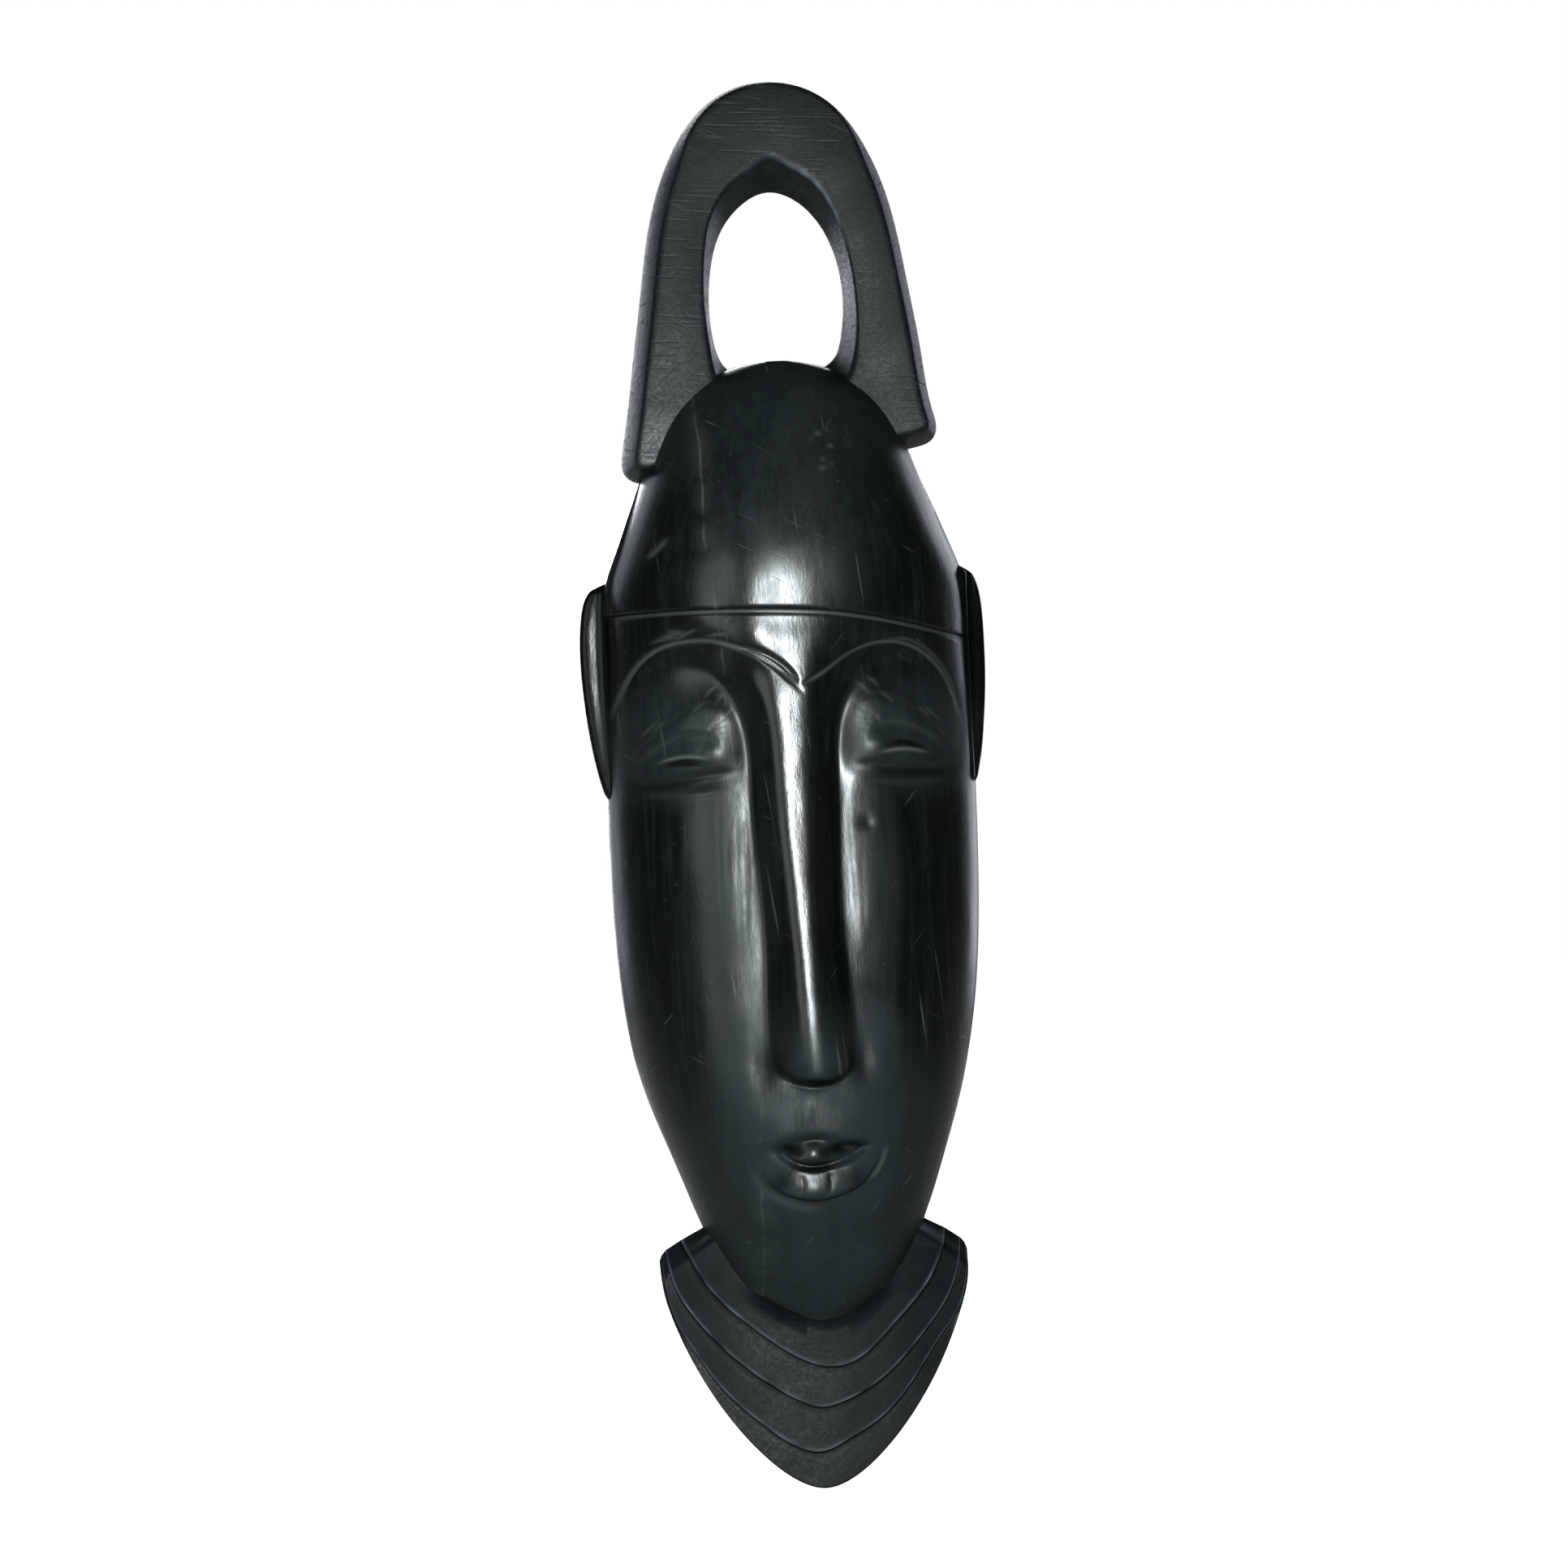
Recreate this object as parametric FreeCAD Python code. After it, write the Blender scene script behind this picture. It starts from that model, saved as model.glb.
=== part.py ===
import FreeCAD, Part
import math
import os

# A carved hardwood wall mask, in millimetres.
# The back lies on the plane y = 0, the carved front looks along -Y and +Z is up.
# The sections below are laid out with z measured up from the tip of the collar;
# move_to_origin() then shifts them so that the origin is on the wall, at the height
# where the screw eye bears on its hook.
# The real mask is carved from one block, so its wooden sections meet face to face
# along the carved lines: head and crest, headband, ears, and the steps of the collar.

# --- Driving sizes -----------------------------------------------------------
MASK_HEIGHT = 400.0

CREST_THICKNESS = 21.0           # of its blank, before the front is planed back
CREST_DRAFT = 3.4                # how far the front edge stands inside the back edge
CREST_CHAMFER = 1.2              # along the rim of its front
# The crest's front leans back towards its top: (height, depth from the wall).
CREST_FRONT = [(270.0, 20.6), (300.0, 20.2), (320.0, 19.4), (350.0, 17.4), (380.0, 14.8), (400.0, 12.8),
               (405.0, 12.2)]
# Half widths of the crest at its back edge, from its top down to the feet.
CREST_OUTLINE = [(0.0, 400.0), (11.5, 397.4), (21.0, 390.6), (28.2, 379.6), (33.0, 367.4),
                 (36.6, 351.5), (39.2, 333.0), (41.9, 314.0)]
CREST_FOOT_LEFT = (-45.2, 289.0)
CREST_FOOT_RIGHT = (44.9, 296.5)

# The hole of the crest at the back and at the front: (half width, height) stations.
LOOP_BACK = [(0.0, 368.5), (9.0, 364.5), (15.5, 356.5), (18.4, 346.0), (18.9, 335.0),
             (16.8, 324.0), (9.5, 317.6), (0.0, 318.2)]
LOOP_FRONT = [(0.0, 376.0), (10.0, 371.5), (17.0, 363.5), (20.8, 351.0), (21.8, 338.0),
              (20.8, 325.0), (13.0, 312.0), (0.0, 309.0)]

# The head, from the chin up: (height, half width, depth of the cheeks, depth of the brow).
HEAD_STATIONS = [
    (48.0, 0.0, 21.4, 21.4),
    (48.7, 8.0, 22.2, 22.2),
    (50.4, 14.0, 24.2, 24.2),
    (54.0, 19.2, 28.0, 28.0),
    (61.0, 24.6, 34.6, 34.6),
    (70.0, 29.4, 41.0, 41.0),
    (80.0, 33.5, 46.2, 46.2),
    (95.0, 38.9, 50.0, 50.0),
    (110.0, 44.1, 51.2, 51.2),
    (130.0, 48.9, 50.8, 50.8),
    (155.0, 51.7, 50.0, 50.0),
    (185.0, 52.7, 49.0, 50.5),
    (215.0, 52.6, 48.5, 54.5),
    (240.0, 52.2, 49.5, 57.0),
    (252.0, 51.7, 51.5, 58.0),
    (259.0, 50.5, 53.5, 58.1),
    (267.0, 47.5, 54.0, 57.2),
    (276.0, 44.0, 53.0, 54.6),
    (285.0, 40.5, 50.4, 51.0),
    (293.0, 37.6, 47.0, 47.2),
    (301.0, 34.2, 42.6, 42.6),
    (308.0, 29.4, 37.4, 37.4),
    (313.0, 23.8, 32.6, 32.6),
    (317.0, 16.6, 27.4, 27.4),
    (319.3, 8.2, 23.0, 23.0),
    (320.0, 0.0, 20.0, 20.0),
]
CHEEK_FULLNESS = (2.9, 2.1)      # exponents of the section's curve, across and in depth
BROW_FULLNESS = (2.3, 2.0)
HEAD_OFFSET = -1.2               # the carver's head sits a little left of the crest
HEAD_OFFSET_FROM, HEAD_OFFSET_TO = 80.0, 130.0

# The nose, by height: where its ridge runs, the ridge's depth from the wall, the half width
# at which its flanks have fallen by NOSE_DROP, and the exponent of that fall.
NOSE_LINE = [(96.0, 0.6), (116.0, 0.0), (140.0, -1.0), (165.0, -1.8), (200.0, -2.6), (236.0, -2.6)]
NOSE_RIDGE = [(96.0, 66.2), (118.0, 65.4), (140.0, 63.4), (165.0, 61.4), (190.0, 59.9), (210.0, 59.2),
              (228.0, 58.7), (240.0, 58.2), (252.0, 54.5), (270.0, 42.0), (300.0, 10.0)]
NOSE_HALF = [(112.0, 10.0), (125.0, 10.8), (150.0, 10.4), (190.0, 11.4), (212.0, 13.0), (226.0, 17.5),
             (238.0, 26.0), (250.0, 34.0)]
NOSE_POWER = [(112.0, 2.1), (135.0, 2.3), (165.0, 2.7), (200.0, 3.2), (230.0, 3.0)]
NOSE_DROP = 12.0
NOSE_BASE_HEIGHT = 116.6
NOSE_BASE_RISE = 3.2             # how much higher the base is at the wings
NOSE_BASE_HALF = 11.0
NOSE_BASE_FALL = 3.0             # slope of the nose's underside
NOSE_BASE_ROUND = 1.4

# The brow arch: (distance from the middle, height), and the slope of the shelf below it.
BROW_ARCH = [(-51.0, 209.0), (-46.0, 226.0), (-38.0, 236.5), (-30.0, 240.0), (-22.0, 240.0), (-10.0, 234.5),
             (1.0, 226.0), (8.0, 230.5), (19.0, 237.0), (28.0, 238.0), (35.0, 235.0), (42.0, 228.0),
             (47.0, 216.0), (50.0, 206.0)]
BROW_SHELF_SLOPE = 0.85
BROW_SHELF_ROUND = 4.0

# Swellings of the face: (across, height, half width, half height, swell).
SWELLINGS = [
    (-25.5, 170.0, 13.0, 30.0, 1.9), (20.5, 170.0, 13.0, 30.0, 1.9),     # cheeks
    (-31.0, 212.0, 13.0, 11.5, 4.6), (27.0, 212.0, 13.0, 11.5, 4.6),     # closed eyes
    (-1.0, 101.0, 20.0, 15.0, 2.8),                                      # muzzle
    (-1.6, 97.0, 9.0, 2.6, 1.4), (-1.6, 88.4, 12.0, 4.0, 2.4),           # upper and lower lip
]
FACE_BLEND = 2.0                 # how softly the forms run into each other

# The headband line that parts the cap from the face: (across, height).
HEADBAND = [(-66.0, 249.0), (-58.0, 249.0), (-22.0, 249.6), (-2.0, 248.8), (8.0, 248.0), (18.0, 246.5),
            (28.0, 244.5), (38.0, 242.2), (48.0, 239.6), (58.0, 237.0), (66.0, 235.0)]
HEADBAND_REACH = 66.0            # how far the cut along it runs to each side

# The hollow of the back.
HOLLOW_BOTTOM, HOLLOW_TOP = 84.0, 276.0
HOLLOW_WALL = 12.0               # left at the sides
HOLLOW_SKIN = 14.0               # left behind the cheeks
HOLLOW_END_ROUND = 34.0          # how far from its ends the hollow starts to close

# The ears: (distance from the middle, height), for the outer rim.
LEFT_EAR_RIM = [(49.5, 261.5), (54.5, 258.2), (58.2, 251.5), (59.7, 240.0), (59.2, 226.0),
                (56.9, 210.0), (53.8, 197.5), (50.5, 190.5)]
RIGHT_EAR_RIM = [(47.0, 262.5), (52.4, 259.3), (54.5, 252.5), (55.4, 240.0), (55.2, 227.0),
                 (53.9, 212.0), (52.0, 199.0), (49.5, 191.5)]
EAR_ROOT = 40.0                  # the ears are blocked out from here, inside the head
EAR_BACK, EAR_FRONT = 1.5, 13.5  # distances from the wall
EAR_EDGE_ROUND = 2.5

# The collar: (half width, height) from the shoulder down to the tip.
COLLAR_OUTLINE = [(44.0, 65.8), (43.4, 57.5), (40.6, 48.0), (35.6, 36.2), (27.4, 22.3),
                  (16.4, 9.2), (8.0, 2.6), (0.0, 0.0)]
COLLAR_SHOULDER = [(42.3, 68.9), (37.9, 71.7), (31.0, 76.2)]     # from its corner in to the jaw
COLLAR_FRONT = 20.0              # depth of the inner step at the middle
COLLAR_STEP = 2.4                # fall from one step to the next
COLLAR_BEND_RADIUS = 120.0       # the collar's front bends round the neck
STEP_LINES = [34.6, 23.4, 10.8]  # height of each step's edge at the middle, inner first
STEP_LINE_ROUND = 10.0
STEP_LINE_STEEPEN = 5.0          # extra rise of the lines where they reach the shoulders
STEP_LINE_SPAN = 40.0
STEP_REACH = 60.0                # how far the cuts along the steps run to each side

# The screw eye that the mask hangs by.
EYE_WIRE = 2.4
EYE_RING_RADIUS = 4.8            # of the wire's middle
EYE_NECK = 1.6
SHANK_LENGTH = 13.0
SHANK_RADIUS = 1.45
THREAD_PITCH = 1.5
THREAD_DEPTH = 0.35
SHANK_FROM_WALL = 9.0

SECTION_POINTS = 60              # spans across each section of the head
FINE_POINTS = 240                # steps in which a section is measured out
EYE_RING_HEIGHT = HOLLOW_TOP - EYE_NECK - EYE_RING_RADIUS - EYE_WIRE / 2
HOOK_HEIGHT = EYE_RING_HEIGHT + EYE_RING_RADIUS - EYE_WIRE / 2


# --- Curves ------------------------------------------------------------------
def cubic(points):
    """A smooth curve v(t) through (t, v) points: a natural cubic spline."""
    t = [p[0] for p in points]
    v = [p[1] for p in points]
    n = len(t)
    bend = [0.0] * n
    pivot = [1.0] * n
    for i in range(1, n - 1):
        before, after = t[i] - t[i - 1], t[i + 1] - t[i]
        change = (v[i + 1] - v[i]) / after - (v[i] - v[i - 1]) / before
        pivot[i] = 2 * (before + after) - before * (before / pivot[i - 1] if i > 1 else 0.0)
        bend[i] = 6 * change - (before * bend[i - 1] / pivot[i - 1] if i > 1 else 0.0)
    second = [0.0] * n
    for i in range(n - 2, 0, -1):
        second[i] = (bend[i] - (t[i + 1] - t[i]) * second[i + 1]) / pivot[i]

    def value(at):
        i = max(1, min(n - 1, next((k for k in range(1, n) if at <= t[k]), n - 1)))
        span = t[i] - t[i - 1]
        a, b = (t[i] - at) / span, (at - t[i - 1]) / span
        curve = (a ** 3 - a) * second[i - 1] + (b ** 3 - b) * second[i]
        return a * v[i - 1] + b * v[i] + curve * span * span / 6

    return value


def chord_lengths(points):
    """The running length along (x, z) points, from 0."""
    along = [0.0]
    for a, b in zip(points, points[1:]):
        along.append(along[-1] + math.dist(a, b))
    return along


def head_outline():
    """Functions of the length along the jaw and skull: height, half width and both depths."""
    along = chord_lengths([(s[1], s[0]) for s in HEAD_STATIONS])
    curves = [cubic(list(zip(along, [s[k] for s in HEAD_STATIONS]))) for k in range(4)]
    return along[-1], curves


def smooth_step(t):
    t = max(0.0, min(1.0, t))
    return t * t * (3 - 2 * t)


def soft_ramp(t, width):
    """0 below 0 and t above it, rounded over the width."""
    return (t + math.sqrt(t * t + width * width)) / 2


def larger(a, b, width):
    """The larger of two depths, with the corner between them rounded."""
    return (a + b + math.sqrt((a - b) ** 2 + width * width)) / 2


def swelling(x, z, mound):
    across, height, half_width, half_height, swell = mound
    return swell * math.exp(-((x - across) / half_width) ** 2 - ((z - height) / half_height) ** 2)


def within(points):
    """A smooth curve through (t, v) points that stays level outside them."""
    curve = cubic(points)
    return lambda t: curve(max(points[0][0], min(points[-1][0], t)))


NOSE_MIDDLE, RIDGE, HALF, POWER = (within(line) for line in (NOSE_LINE, NOSE_RIDGE, NOSE_HALF, NOSE_POWER))
ARCH = within(BROW_ARCH)
HEADBAND_HEIGHT = within(HEADBAND)
CREST_DEPTH = within(CREST_FRONT)


def head_middle(z):
    return HEAD_OFFSET * smooth_step((z - HEAD_OFFSET_FROM) / (HEAD_OFFSET_TO - HEAD_OFFSET_FROM))


def section_depth(x, half_width, depth, fullness):
    across, deep = fullness
    return depth * max(0.0, 1 - abs(x / half_width) ** across) ** (1 / deep)


def nose_depth(x, z):
    off = x - NOSE_MIDDLE(z)
    base = NOSE_BASE_HEIGHT + NOSE_BASE_RISE * (off / NOSE_BASE_HALF) ** 2
    return (RIDGE(z) - NOSE_DROP * abs(off / HALF(z)) ** POWER(z)
            - NOSE_BASE_FALL * soft_ramp(base - z, NOSE_BASE_ROUND))


def head_depth(x, z, half_width, cheek, brow):
    """How far the carved front stands from the wall."""
    inner = x - head_middle(z)
    rim = max(0.0, 1 - (inner / half_width) ** 2)
    face = section_depth(inner, half_width, cheek, CHEEK_FULLNESS)
    face += rim * sum(swelling(x, z, mound) for mound in SWELLINGS)
    forehead = section_depth(inner, half_width, brow, BROW_FULLNESS)
    forehead -= BROW_SHELF_SLOPE * soft_ramp(ARCH(x) - z, BROW_SHELF_ROUND)
    blend = FACE_BLEND * rim
    return larger(larger(face, forehead, blend), nose_depth(x, z), blend)


# --- The head ----------------------------------------------------------------
def head_levels():
    """Heights of the head's sections: close together at the mouth, the nose's end and the eyes."""
    spans = [(49.0, 53.0, 1.0), (53.0, 80.0, 3.9), (80.0, 101.0, 1.9), (101.0, 109.0, 2.7),
             (109.0, 121.0, 1.5), (121.0, 197.0, 8.0), (197.0, 245.0, 2.7), (245.0, 301.0, 5.6),
             (301.0, 313.0, 2.4), (313.0, 316.0, 1.5), (316.0, 319.0, 0.75)]
    levels = []
    for low, high, step in spans:
        count = max(1, round((high - low) / step))
        levels += [low + (high - low) * i / count for i in range(count)]
    return levels + [spans[-1][1]]


def station_at(z, total, height_curve):
    """The length along the outline at which it reaches a height."""
    low, high = 0.0, total
    for _ in range(50):
        middle = (low + high) / 2
        if height_curve(middle) < z:
            low = middle
        else:
            high = middle
    return (low + high) / 2


def closed_block(rows):
    """A solid with one smooth carved front through rows of points, and a flat back at y = 0."""
    surface = Part.BSplineSurface()
    surface.interpolate([[FreeCAD.Vector(*p) for p in row] for row in rows])
    front = surface.toShape()
    corners = [FreeCAD.Vector(*p) for p in (rows[0][0], rows[0][-1], rows[-1][0], rows[-1][-1])]
    low = Part.makeLine(corners[0], corners[1])
    high = Part.makeLine(corners[2], corners[3])

    def edge_at(points):
        middle = FreeCAD.Vector(*points[len(points) // 2])
        return min(front.Edges, key=lambda e: e.distToShape(Part.Vertex(middle))[0])

    left, right = edge_at([row[0] for row in rows]), edge_at([row[-1] for row in rows])
    bottom, top = edge_at(rows[0]), edge_at(rows[-1])
    faces = [front]
    for edges in ([left, high, right, low], [bottom, low], [top, high]):
        faces.append(Part.Face(Part.Wire(Part.__sortEdges__(edges))))
    shell = Part.Shell(faces)
    shell.sewShape()
    solid = Part.Solid(shell)
    if solid.Volume < 0:
        solid.reverse()
    return solid


def even_section(half_width, depth_at):
    """Points (x, depth) spread evenly along a section, from its rim on one side to the other."""
    fine = [-math.cos(math.pi * i / FINE_POINTS) * half_width for i in range(FINE_POINTS + 1)]
    line = [(x, depth_at(x)) for x in fine[1:-1]]
    line = [(-half_width, 0.0)] + line + [(half_width, 0.0)]
    along = chord_lengths(line)
    points, i = [line[0]], 1
    for k in range(1, SECTION_POINTS):
        wanted = along[-1] * k / SECTION_POINTS
        while along[i] < wanted:
            i += 1
        share = (wanted - along[i - 1]) / (along[i] - along[i - 1])
        points.append(tuple(a + (b - a) * share for a, b in zip(line[i - 1], line[i])))
    return points + [line[-1]]


def make_head():
    """The whole head as one block, with its face carved and its back flat."""
    total, (height, width, cheek, brow) = head_outline()
    rows = []
    for z in head_levels():
        at = station_at(z, total, height)
        half_width, middle = width(at), head_middle(z)

        def depth_at(x, z=z, at=at, half_width=half_width, middle=middle):
            return head_depth(middle + x, z, half_width, cheek(at), brow(at))

        rows.append([(middle + x, -depth, z) for x, depth in even_section(half_width, depth_at)])
    return closed_block(rows)


def make_hollow():
    """What the gouge takes out of the back."""
    total, (height, width, cheek, _) = head_outline()
    rows = []
    count = 22
    for i in range(count + 1):
        turn = math.pi * (0.04 + 0.92 * i / count)
        z = (HOLLOW_BOTTOM + HOLLOW_TOP) / 2 - (HOLLOW_TOP - HOLLOW_BOTTOM) / 2 * math.cos(turn)
        end = min(z - HOLLOW_BOTTOM, HOLLOW_TOP - z)
        closing = math.sqrt(1 - (1 - min(1.0, end / HOLLOW_END_ROUND)) ** 2)
        at = station_at(z, total, height)
        half_width = (width(at) - HOLLOW_WALL) * closing
        depth = (cheek(at) - HOLLOW_SKIN) * closing
        middle = head_middle(z)

        def depth_at(x, half_width=half_width, depth=depth):
            return section_depth(x, half_width, depth, BROW_FULLNESS)

        rows.append([(middle + x, -deep, z) for x, deep in even_section(half_width, depth_at)])
    return closed_block(rows)


def above_headband():
    """Everything above the headband line, as a solid to part the head with."""
    reach, depth = HEADBAND_REACH, 90.0
    line = Part.BSplineCurve()
    line.interpolate([FreeCAD.Vector(x, 10, HEADBAND_HEIGHT(x)) for x in
                      [-reach + 2 * reach * i / 12 for i in range(13)]])
    left, right = line.StartPoint, line.EndPoint
    top = MASK_HEIGHT + 10
    corners = [right, FreeCAD.Vector(reach, 10, top), FreeCAD.Vector(-reach, 10, top), left]
    edges = [line.toShape()] + [Part.LineSegment(a, b).toShape() for a, b in zip(corners, corners[1:])]
    return Part.Face(Part.Wire(edges)).extrude(FreeCAD.Vector(0, -depth, 0))


# --- The crest ---------------------------------------------------------------
def drawn_in(points, inset):
    """The open outline (x, z), drawn in by the inset square to itself."""
    moved = []
    for i, (x, z) in enumerate(points):
        before, after = points[max(0, i - 1)], points[min(len(points) - 1, i + 1)]
        run, rise = after[0] - before[0], after[1] - before[1]
        length = math.hypot(run, rise)
        moved.append((x + rise / length * inset, z - run / length * inset))
    return moved


def crest_wire(inset, y):
    """The crest's outline at one depth, drawn in by the inset, with its two feet."""
    right = CREST_OUTLINE + [CREST_FOOT_RIGHT]
    left = [(-x, z) for x, z in CREST_OUTLINE[:0:-1]]
    line = drawn_in([CREST_FOOT_LEFT] + left + right, inset)
    points = [FreeCAD.Vector(x, y, z) for x, z in line]
    curve = Part.BSplineCurve()
    curve.interpolate(points)
    foot = Part.LineSegment(points[-1], points[0])
    return Part.Wire([curve.toShape(), foot.toShape()])


def loop_wire(stations, y):
    points = [(x, z) for x, z in stations] + [(-x, z) for x, z in stations[-2:0:-1]]
    curve = Part.BSplineCurve()
    curve.interpolate([FreeCAD.Vector(x, y, z) for x, z in points], PeriodicFlag=True)
    return Part.Wire([curve.toShape()])


def behind_crest_front():
    """Everything behind the crest's leaning front, as a solid."""
    reach, behind = 60.0, 5.0
    low, high = CREST_FRONT[0][0], CREST_FRONT[-1][0]
    line = Part.BSplineCurve()
    line.interpolate([FreeCAD.Vector(-reach, -CREST_DEPTH(z), z) for z, _ in CREST_FRONT])
    corners = [line.EndPoint, FreeCAD.Vector(-reach, behind, high), FreeCAD.Vector(-reach, behind, low),
               line.StartPoint]
    edges = [line.toShape()] + [Part.LineSegment(a, b).toShape() for a, b in zip(corners, corners[1:])]
    return Part.Face(Part.Wire(edges)).extrude(FreeCAD.Vector(2 * reach, 0, 0))


def make_crest():
    """The crest with its hole, and the crest's blank without it."""
    blank = Part.makeLoft([crest_wire(0.0, 0.0), crest_wire(CREST_DRAFT, -CREST_THICKNESS)], True, True)
    blank = blank.common(behind_crest_front())
    over = 0.5
    hole = Part.makeLoft([loop_wire(LOOP_BACK, over), loop_wire(LOOP_FRONT, -CREST_THICKNESS - over)],
                         True, True)
    crest = blank.cut(hole)
    front = min(crest.Faces, key=lambda f: f.CenterOfMass.y)
    rim = max(front.OuterWire.Edges, key=lambda e: e.Length)
    return crest.makeChamfer(CREST_CHAMFER, [rim]), blank


# --- The ears ----------------------------------------------------------------
def make_ear(rim, side, head):
    """An ear flange, blocked out behind the cheek and cut where it meets the head."""
    points = [FreeCAD.Vector(side * x, -EAR_BACK, z) for x, z in rim]
    curve = Part.BSplineCurve()
    curve.interpolate(points)
    corners = [points[-1], FreeCAD.Vector(side * EAR_ROOT, -EAR_BACK, rim[-1][1]),
               FreeCAD.Vector(side * EAR_ROOT, -EAR_BACK, rim[0][1]), points[0]]
    edges = [curve.toShape()] + [Part.LineSegment(a, b).toShape() for a, b in zip(corners, corners[1:])]
    block = Part.Face(Part.Wire(edges)).extrude(FreeCAD.Vector(0, EAR_BACK - EAR_FRONT, 0))
    rounded = [e for e in block.Edges if e.Curve.TypeId == "Part::GeomBSplineCurve"]
    block = block.makeFillet(EAR_EDGE_ROUND, rounded)
    return block.cut(head)


# --- The collar --------------------------------------------------------------
def step_line(height, x):
    """Height of a carved step's edge at a distance from the middle."""
    bend = math.hypot(STEP_LINE_ROUND, x) - STEP_LINE_ROUND
    return height + bend + STEP_LINE_STEEPEN * (x / STEP_LINE_SPAN) ** 4


def collar_edges(y):
    """The collar's outline as edges, and its shoulders' corners."""
    side = [FreeCAD.Vector(x, y, z) for x, z in COLLAR_OUTLINE]
    other = [FreeCAD.Vector(-p.x, y, p.z) for p in side[-2::-1]]
    curve = Part.BSplineCurve()
    curve.interpolate(side + other)
    left = [FreeCAD.Vector(-x, y, z) for x, z in COLLAR_SHOULDER]
    right = [FreeCAD.Vector(x, y, z) for x, z in COLLAR_SHOULDER[::-1]]
    corners = [other[-1]] + left + right + [side[0]]
    return [curve.toShape()] + [Part.LineSegment(a, b).toShape() for a, b in zip(corners, corners[1:])]


def above_step(height, depth):
    """Everything above one step line, as a solid."""
    reach, count = STEP_REACH, 16
    line = Part.BSplineCurve()
    line.interpolate([FreeCAD.Vector(x, 5, step_line(height, x)) for x in
                      [-reach + 2 * reach * i / count for i in range(count + 1)]])
    top = MASK_HEIGHT / 2
    corners = [line.EndPoint, FreeCAD.Vector(reach, 5, top), FreeCAD.Vector(-reach, 5, top), line.StartPoint]
    edges = [line.toShape()] + [Part.LineSegment(a, b).toShape() for a, b in zip(corners, corners[1:])]
    return Part.Face(Part.Wire(edges)).extrude(FreeCAD.Vector(0, -depth, 0))


def bent_front(depth):
    """A cylinder that gives the collar's steps their bend, its front at this depth."""
    low, high = -10.0, MASK_HEIGHT / 2
    centre = FreeCAD.Vector(0, COLLAR_BEND_RADIUS - depth, low)
    return Part.makeCylinder(COLLAR_BEND_RADIUS, high - low, centre, FreeCAD.Vector(0, 0, 1))


def make_collar():
    """The stepped collar, and the collar's blank."""
    outline = Part.Face(Part.Wire(collar_edges(0.0)))
    prism = outline.extrude(FreeCAD.Vector(0, -COLLAR_FRONT - 20, 0))
    depths = [COLLAR_FRONT - COLLAR_STEP * k for k in range(len(STEP_LINES) + 1)]
    fronts = [prism.common(bent_front(depth)) for depth in depths]
    collar = fronts[-1]
    for front, line in zip(fronts, STEP_LINES):
        collar = collar.fuse(front.common(above_step(line, 2 * COLLAR_FRONT)))
    return collar.removeSplitter(), fronts[0]


# --- The screw eye -----------------------------------------------------------
def make_screw_eye():
    """A steel eye: its ring in the hollow, its threaded shank up in the wood above."""
    centre = FreeCAD.Vector(0, -SHANK_FROM_WALL, EYE_RING_HEIGHT)
    ring = Part.makeTorus(EYE_RING_RADIUS, EYE_WIRE / 2, centre, FreeCAD.Vector(0, 1, 0))
    up = FreeCAD.Vector(0, 0, 1)
    root = FreeCAD.Vector(0, -SHANK_FROM_WALL, EYE_RING_HEIGHT + EYE_RING_RADIUS)
    neck = Part.makeCylinder(EYE_WIRE / 2, HOLLOW_TOP - root.z, root, up)
    shank_start = FreeCAD.Vector(root.x, root.y, HOLLOW_TOP)
    core = SHANK_RADIUS - THREAD_DEPTH
    outline = [(0, 0), (core, 0)]
    turns = int(SHANK_LENGTH / THREAD_PITCH) - 1
    for turn in range(turns):
        low = turn * THREAD_PITCH
        outline += [(core, low + THREAD_PITCH * 0.3), (SHANK_RADIUS, low + THREAD_PITCH * 0.5),
                    (core, low + THREAD_PITCH * 0.7)]
    outline += [(core, turns * THREAD_PITCH), (0, SHANK_LENGTH)]
    ring_points = [FreeCAD.Vector(root.x + r, root.y, shank_start.z + h) for r, h in outline]
    profile = Part.Face(Part.makePolygon(ring_points + [ring_points[0]]))
    shank = profile.revolve(shank_start, up, 360)
    return ring.fuse(neck).fuse(shank).removeSplitter()


def pilot_hole():
    start = FreeCAD.Vector(0, -SHANK_FROM_WALL, HOLLOW_TOP - HOLLOW_END_ROUND)
    clearance = 0.05
    return Part.makeCylinder(SHANK_RADIUS + clearance, HOLLOW_END_ROUND + SHANK_LENGTH + clearance, start,
                             FreeCAD.Vector(0, 0, 1))


# --- The whole mask ----------------------------------------------------------
def move_to_origin(shape):
    moved = shape.copy()
    moved.translate(FreeCAD.Vector(0, 0, -HOOK_HEIGHT))
    return moved


def build():
    head = make_head()
    crest, crest_blank = make_crest()
    collar, collar_blank = make_collar()
    shell = head.cut(make_hollow())
    upper = above_headband()
    cap = shell.common(upper).cut(crest_blank).cut(pilot_hole())
    parts = {
        "crest_loop": crest,
        "skull_cap": max(cap.Solids, key=lambda solid: solid.Volume),    # without a hair left by the cut
        "face": shell.cut(upper).cut(collar_blank),
        "left_ear": make_ear(LEFT_EAR_RIM, -1, head),
        "right_ear": make_ear(RIGHT_EAR_RIM, 1, head),
        "collar": collar,
        "screw_eye": make_screw_eye(),
    }
    return {name: move_to_origin(shape) for name, shape in parts.items()}


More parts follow.
